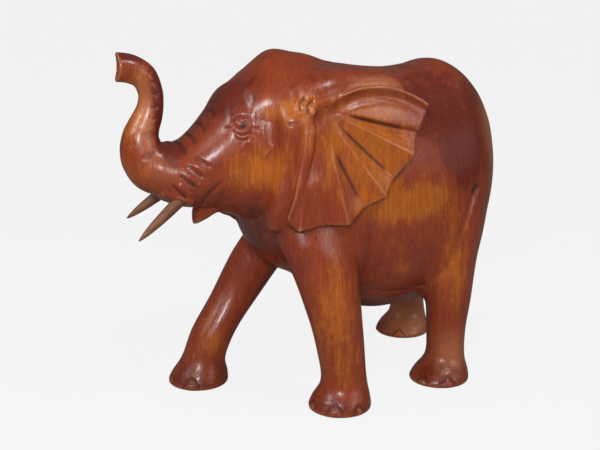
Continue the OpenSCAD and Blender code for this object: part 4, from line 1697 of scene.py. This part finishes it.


# A soft patch of colour about a point, in mm, used for stains, pale wear and painted sheen, highlights and
# light.
@dataclass(frozen=True)
class VarnishedWood(Finish):
    """Stained and varnished hardwood: darker in its cuts, with painted shade in its hollows; amber where it
    is rubbed; paler with wear and with painted highlights, sheen and light.
    """

    name: str = "varnished_wood"
    tones: WoodTones = WoodTones(
        groove=paint(56, 20, 14),
        dark=paint(100, 36, 23),
        middle=paint(142, 59, 29),
        light=paint(184, 99, 24),
    )
    # Pale tone of worn spots and of painted highlights, sheen and light
    worn: Colour = paint(200, 134, 92)
    cloud: Noise = Noise((0.035, 0.035, 0.022), 4.0, 0.6, 3.0)
    mottle: Noise = Noise((0.22, 0.22, 0.06), 3.0, 0.6, 9.0)
    speck: Noise = Noise((1.2, 1.2, 0.7), 2.0, 0.6, 21.0)
    blotch: Noise = Noise((0.10, 0.10, 0.055), 3.0, 0.6, 15.0)
    cloud_share: float = 0.55
    mottle_share: float = 0.35
    figure_share: float = 0.12
    speck_share: float = 0.45
    blotch_share: float = 0.4
    stain_start: float = 0.33
    streak_share: float = 0.42
    pore_share: float = 0.34
    worn_share: float = 0.5
    groove_share: float = 0.85
    roughness: float = 0.18
    rough_mottle: float = 0.16
    rough_pore: float = 0.15
    rough_groove: float = 0.4
    coat: float = 0.12

    def stain(self, bench: NodeBench, place: Socket, mottle: Socket, figure: Socket) -> Socket:
        """How far the stain is rubbed to amber."""
        total = bench.plus(bench.mask("amber"), bench.noise(place, self.cloud), self.cloud_share)
        total = bench.plus(total, mottle, self.mottle_share, 0.5)
        total = bench.plus(total, figure, self.figure_share)
        total = bench.plus(total, bench.noise(place, self.speck), self.speck_share, 0.5)
        total = bench.plus(total, bench.noise(place, self.blotch), self.blotch_share, 0.5)
        return bench.math("SUBTRACT", total, self.stain_start)

    def dress(self, bench: NodeBench, shader: Node) -> None:
        """Lay out nodes that read the carving's masks."""
        place = bench.grain_place()
        grain = WoodGrain.lay(bench, place)
        mottle = bench.noise(place, self.mottle)
        stain = self.stain(bench, place, mottle, grain["Figure"])
        streak = bench.math("MULTIPLY", bench.math("SUBTRACT", 1.0, grain["Streak"]), self.streak_share)
        pore = bench.math("MULTIPLY", grain["Pore"], self.pore_share)
        # Paler on the wear mask: wear, with painted highlights, sheen and light
        edge = bench.math("MULTIPLY", bench.ramp(bench.mask("wear"), 0.18, 0.8), self.worn_share)
        # Darker in the marks and creases, and with painted shade in the hollows
        groove = bench.math("MULTIPLY", bench.ramp(bench.mask("groove"), 0.12, 0.95), self.groove_share)
        colour = bench.mix(bench.ramp(stain, 0.20, 0.52), self.tones.dark, self.tones.middle)
        colour = bench.mix(bench.ramp(stain, 0.55, 0.92), colour, self.tones.light)
        colour = bench.mix(streak, colour, self.tones.dark)
        colour = bench.mix(pore, colour, self.tones.groove)
        colour = bench.mix(edge, colour, self.worn)
        colour = bench.mix(groove, colour, self.tones.groove)
        rough = bench.math("MULTIPLY", mottle, self.rough_mottle)
        rough = bench.plus(rough, grain["Pore"], self.rough_pore)
        rough = bench.plus(rough, groove, self.rough_groove)
        bench.feed(shader, {
            "Base Color": colour,
            "Roughness": bench.math("ADD", rough, self.roughness),
            "Coat Weight": bench.math("MULTIPLY", bench.math("SUBTRACT", 1.0, groove), self.coat),
            "Coat Roughness": 0.16,
            "Specular IOR Level": 0.34,
            "Normal": bench.bump(grain["Height"], 0.36, 0.0006),
        })


@dataclass(frozen=True)
class BareWood(Finish):
    """Pale unvarnished wood of the tusks."""

    name: str = "bare_wood"
    tones: WoodTones = WoodTones(
        groove=paint(52, 27, 16),
        dark=paint(90, 51, 31),
        middle=paint(114, 67, 41),
        light=paint(136, 85, 54),
    )
    figure: Noise = Noise((0.5, 0.5, 0.05), 3.0, 0.6, 2.0)
    streak_share: float = 0.5
    pore_share: float = 0.7
    roughness: float = 0.42
    rough_figure: float = 0.2

    def dress(self, bench: NodeBench, shader: Node) -> None:
        """Lay out nodes with the grain along the tusk."""
        place = bench.grain_place()
        grain = WoodGrain.lay(bench, place)
        figure = bench.noise(place, self.figure)
        streak = bench.math("MULTIPLY", bench.math("SUBTRACT", 1.0, grain["Streak"]), self.streak_share)
        pore = bench.math("MULTIPLY", grain["Pore"], self.pore_share)
        colour = bench.mix(bench.ramp(figure, 0.3, 0.7), self.tones.dark, self.tones.light)
        colour = bench.mix(streak, colour, self.tones.middle)
        colour = bench.mix(pore, colour, self.tones.groove)
        rough = bench.math("MULTIPLY", figure, self.rough_figure)
        bench.feed(shader, {
            "Base Color": colour,
            "Roughness": bench.math("ADD", rough, self.roughness),
            "Normal": bench.bump(grain["Height"], 0.4, 0.0003),
        })


@dataclass(frozen=True)
class GlassBead(Finish):
    """Dark, polished glass of the eyes."""

    name: str = "glass_bead"
    core: Colour = paint(30, 30, 32)
    ring: Colour = paint(66, 64, 64)
    cloud: Noise = Noise((0.7, 0.7, 0.7), 3.0)
    roughness: float = 0.16
    rough_cloud: float = 0.06

    def dress(self, bench: NodeBench, shader: Node) -> None:
        """Lay out nodes with a faint cloud in the glass."""
        cloud = bench.noise(bench.grain_place(), self.cloud)
        rough = bench.math("MULTIPLY", cloud, self.rough_cloud)
        bench.feed(shader, {
            "Base Color": bench.mix(bench.ramp(cloud, 0.35, 0.7), self.core, self.ring),
            "Roughness": bench.math("ADD", rough, self.roughness),
            "Coat Weight": 0.8,
            "Coat Roughness": 0.12,
        })


@dataclass
class TurnedPiece:
    """A round piece: rings of a profile about a line.

    The rows of the profile are the place along the line and the radius, in mm.
    """

    name: str
    origin: Array
    way: Array
    profile: Rows
    sides: int = 40
    rings: int = 12
    # A direction that no piece's line has, from which the rings are started
    aside: Triple = (0.0, 1.0, 0.3)

    def build(self) -> bpy.types.Object:
        """The piece as one closed mesh.

        Returns:
            The mesh object, in the frame of the solids.
        """
        table = smooth_rows(self.profile, self.rings * len(self.profile))
        up = self.way / np.linalg.norm(self.way)
        across = np.cross(up, self.aside)
        across /= np.linalg.norm(across)
        third = np.cross(up, across)
        turn = np.linspace(0.0, 2 * np.pi, self.sides, endpoint=False)
        grain = [(0.0, 0.0, table[0, 0])]
        for along, radius in table:
            grain += [(radius * math.cos(a), radius * math.sin(a), along) for a in turn]
        grain.append((0.0, 0.0, table[-1, 0]))
        points = [self.origin + up * along + across * x + third * y for x, y, along in grain]
        n, last = self.sides, len(points) - 1
        faces = [(0, 1 + (j + 1) % n, 1 + j) for j in range(n)]
        for i in range(len(table) - 1):
            a, b = 1 + i * n, 1 + (i + 1) * n
            faces += [(a + j, a + (j + 1) % n, b + (j + 1) % n, b + j) for j in range(n)]
        a = 1 + (len(table) - 1) * n
        faces += [(a + j, a + (j + 1) % n, last) for j in range(n)]
        mesh = bpy.data.meshes.new(self.name)
        mesh.from_pydata([tuple(p * MM) for p in points], [], faces)
        keep_grain(mesh, np.array(grain))
        mesh.shade_smooth()
        return put(self.name, mesh)


@dataclass
class Tusks:
    """Two tapered tusks that push into their sockets.

    The rows are shares of the length outside the socket and of the radius.
    """

    block: CarvedBlock
    depth: float = 14.0
    bevel: float = 0.4
    bevel_length: float = 0.6
    straight_end: float = -4.0
    shank: float = 2.0
    left_length: float = 40.0
    right_length: float = 35.0
    radius: float = 4.3
    rows: Rows = (
        (0.00, 1.00),
        (0.20, 0.95),
        (0.45, 0.83),
        (0.65, 0.67),
        (0.82, 0.47),
        (0.94, 0.25),
        (0.985, 0.12),
        (1.00, 0.02),
    )

    def profile(self, side: Side) -> Rows:
        """Places along a side's tusk and its radii."""
        r = self.radius
        length = self.left_length if side is Side.LEFT else self.right_length
        return (
            (-self.depth, r - self.bevel),
            (-self.depth + self.bevel_length, r),
            (self.straight_end, r),
            *((lerp(self.shank, length, a), r * b) for a, b in self.rows),
        )

    def build(self, finish: bpy.types.Material) -> list[bpy.types.Object]:
        """Both tusks, dressed and riding on their bodies."""
        made = []
        for side in Side:
            mouth, way = self.block.socket(side)
            piece = TurnedPiece(f"tusk_{side.word}", mouth, way, self.profile(side)).build()
            piece.data.materials.append(finish)
            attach(piece, f"{side.word}_tusk")
            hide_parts(f"{side.word}_tusk")
            made.append(piece)
        return made


@dataclass
class Beads:
    """Two glass beads set into the eyeballs."""

    block: CarvedBlock
    radius: float = 2.1
    shank: float = 3.0
    sunk: float = 0.7
    wall_end: float = -0.3
    dome: float = 0.75
    dome_turn: float = 1.52
    sides: int = 32

    def profile(self) -> Rows:
        """Places along a bead and its radii."""
        r = self.radius
        turns = np.linspace(0.0, self.dome_turn, 7)
        dome = ((r * self.dome * math.sin(a), r * math.cos(a)) for a in turns)
        return ((-self.shank, r), (self.wall_end, r), *dome)

    def build(self, finish: bpy.types.Material) -> list[bpy.types.Object]:
        """Both beads, dressed and riding on the carving."""
        made = []
        balls = [form for form in self.block.forms if isinstance(form, Ball)]
        for side, ball in zip(Side, balls):
            way = side.value * np.array(HEAD.axes[1])
            seat = ball.centre + way * (ball.radius - self.sunk)
            piece = TurnedPiece(f"eye_bead_{side.word}", seat, way, self.profile(), self.sides).build()
            piece.data.materials.append(finish)
            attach(piece, "carving")
            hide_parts(f"{side.word}_eye")
            made.append(piece)
        return made


@dataclass(frozen=True)
class Lamp:
    """Soft square lamp that looks at a point, in metres and watts.

    Diffuse says whether it lights the surfaces' colour, and gloss whether it
    shows in the varnish.
    """

    name: str
    place: Triple
    aim: Triple
    size: float
    power: float
    diffuse: bool = True
    gloss: bool = True

    def build(self) -> None:
        """Put the lamp into the scene."""
        data = bpy.data.lights.new(self.name, "AREA")
        data.size = self.size
        data.energy = self.power
        lamp = put(self.name, data)
        lamp.location = self.place
        lamp.visible_diffuse = self.diffuse
        lamp.visible_glossy = self.gloss
        lamp.rotation_euler = (Vector(self.aim) - Vector(self.place)).to_track_quat("-Z", "Y").to_euler()


LAMPS = (
    Lamp("flash", (-0.83, -0.65, 0.62), (-0.01, -0.01, 0.14), 0.13, 6.5, diffuse=False),
    Lamp("front", (-0.735, -0.72, 0.60), (-0.01, -0.01, 0.14), 0.13, 2.9, gloss=False),
    Lamp("fill", (-0.52, -0.74, 0.42), (0.0, 0.0, 0.13), 0.25, 2.9, gloss=False),
    Lamp("right", (0.15, -0.70, 1.20), (0.0, 0.0, 0.16), 0.20, 6.2),
    Lamp("sheen", (0.36, -1.10, 0.50), (0.0, 0.0, 0.16), 0.40, 2.4, diffuse=False),
    Lamp("side", (0.82, -0.86, 0.40), (0.0, 0.0, 0.16), 0.36, 0.25, diffuse=False),
    Lamp("left", (-0.96, 0.14, 0.81), (0.0, 0.0, 0.12), 0.18, 3.4),
)


def grey(value: float) -> Colour:
    """Grey of a linear value."""
    return (value, value, value, 1.0)


@dataclass
class Studio:
    """Pale floor, soft light and the camera at the photograph's angle, in metres."""

    eye: Triple = (-0.49330, -0.66648, 0.327)
    pitch: float = math.radians(13.545)
    heading: float = math.radians(35.4)
    lens: float = 66.0
    sensor: float = 36.0
    nearest: float = 0.01
    white: Colour = paint(244, 244, 244)
    light: float = 0.24
    mirrored_light: float = 0.12
    floor_reach: float = 40.0
    floor_drop: float = 0.0002
    floor_tone: Colour = paint(150, 146, 143)
    floor_roughness: float = 0.9
    floor_shade: float = 0.055
    floor_glow: float = 0.865

    def build(self) -> None:
        """Camera, floor, world and lamps."""
        self.camera()
        self.floor()
        self.world()
        for lamp in LAMPS:
            lamp.build()

    def camera(self) -> None:
        """Camera at the photograph's viewing angle."""
        data = bpy.data.cameras.new("camera")
        data.lens = self.lens
        data.sensor_width = self.sensor
        data.clip_start = self.nearest
        camera = put("camera", data)
        camera.location = self.eye
        camera.rotation_euler = (math.pi / 2 - self.pitch, 0.0, -self.heading)
        bpy.context.scene.camera = camera

    def floor(self) -> None:
        """Pale floor that keeps a faint shadow."""
        mesh = bpy.data.meshes.new("floor")
        r = self.floor_reach
        mesh.from_pydata([(-r, -r, 0), (r, -r, 0), (r, r, 0), (-r, r, 0)], [], [(0, 1, 2, 3)])
        floor = put("floor", mesh)
        floor.location.z = -self.floor_drop
        material = bpy.data.materials.new("floor")
        material.use_nodes = True
        tree = material.node_tree
        bench = NodeBench(tree)
        plain = tree.nodes["Principled BSDF"]
        bench.feed(plain, {"Base Color": self.floor_tone, "Roughness": self.floor_roughness})
        shade = bench.add("ShaderNodeBsdfDiffuse", {"Color": grey(self.floor_shade)})
        glow = bench.add("ShaderNodeEmission", {"Color": grey(self.floor_glow)})
        both = bench.add("ShaderNodeAddShader", {0: shade.outputs[0], 1: glow.outputs[0]})
        ray = bench.add("ShaderNodeLightPath").outputs
        seen = bench.mix_shaders(ray["Is Camera Ray"], plain, both)
        bench.feed(tree.nodes["Material Output"], {"Surface": seen.outputs[0]})
        mesh.materials.append(material)

    def world(self) -> None:
        """Soft white surroundings, seen as the pale background."""
        world = bpy.data.worlds.new("studio")
        bpy.context.scene.world = world
        world.use_nodes = True
        tree = world.node_tree
        bench = NodeBench(tree)
        light = tree.nodes["Background"]
        bench.feed(light, {"Color": grey(1.0), "Strength": self.light})
        seen = bench.add("ShaderNodeBackground", {"Color": self.white})
        mirrored = bench.add("ShaderNodeBackground", {"Color": grey(1.0), "Strength": self.mirrored_light})
        ray = bench.add("ShaderNodeLightPath").outputs
        plain = bench.mix_shaders(ray["Is Glossy Ray"], light, mirrored)
        both = bench.mix_shaders(ray["Is Camera Ray"], plain, seen)
        bench.feed(tree.nodes["World Output"], {"Surface": both.outputs[0]})


def corners(box: object) -> list[list[float]]:
    return [[float(x) for x in corner] for corner in box]


def main() -> None:
    """Build and dress the elephant, piece by piece."""
    logging.basicConfig(level=logging.INFO, format="%(message)s")
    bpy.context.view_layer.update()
    bpy.context.scene.view_settings.view_transform = "Standard"
    Studio().build()
    block = CarvedBlock()
    carving = block.build((*EYE_CUTS, *FACE_CUTS, *TRUNK_CUTS, *BODY_CUTS))
    carving.data.materials.append(VarnishedWood().build())
    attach(carving, "carving")
    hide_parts("carved_body")
    pieces = [carving, *Tusks(block).build(BareWood().build()), *Beads(block).build(GlassBead().build())]
    for piece in pieces:
        mesh = piece.data
        log.info("piece %s: %d points, %d faces", piece.name, len(mesh.vertices), len(mesh.polygons))


if __name__ == "__main__":
    main()
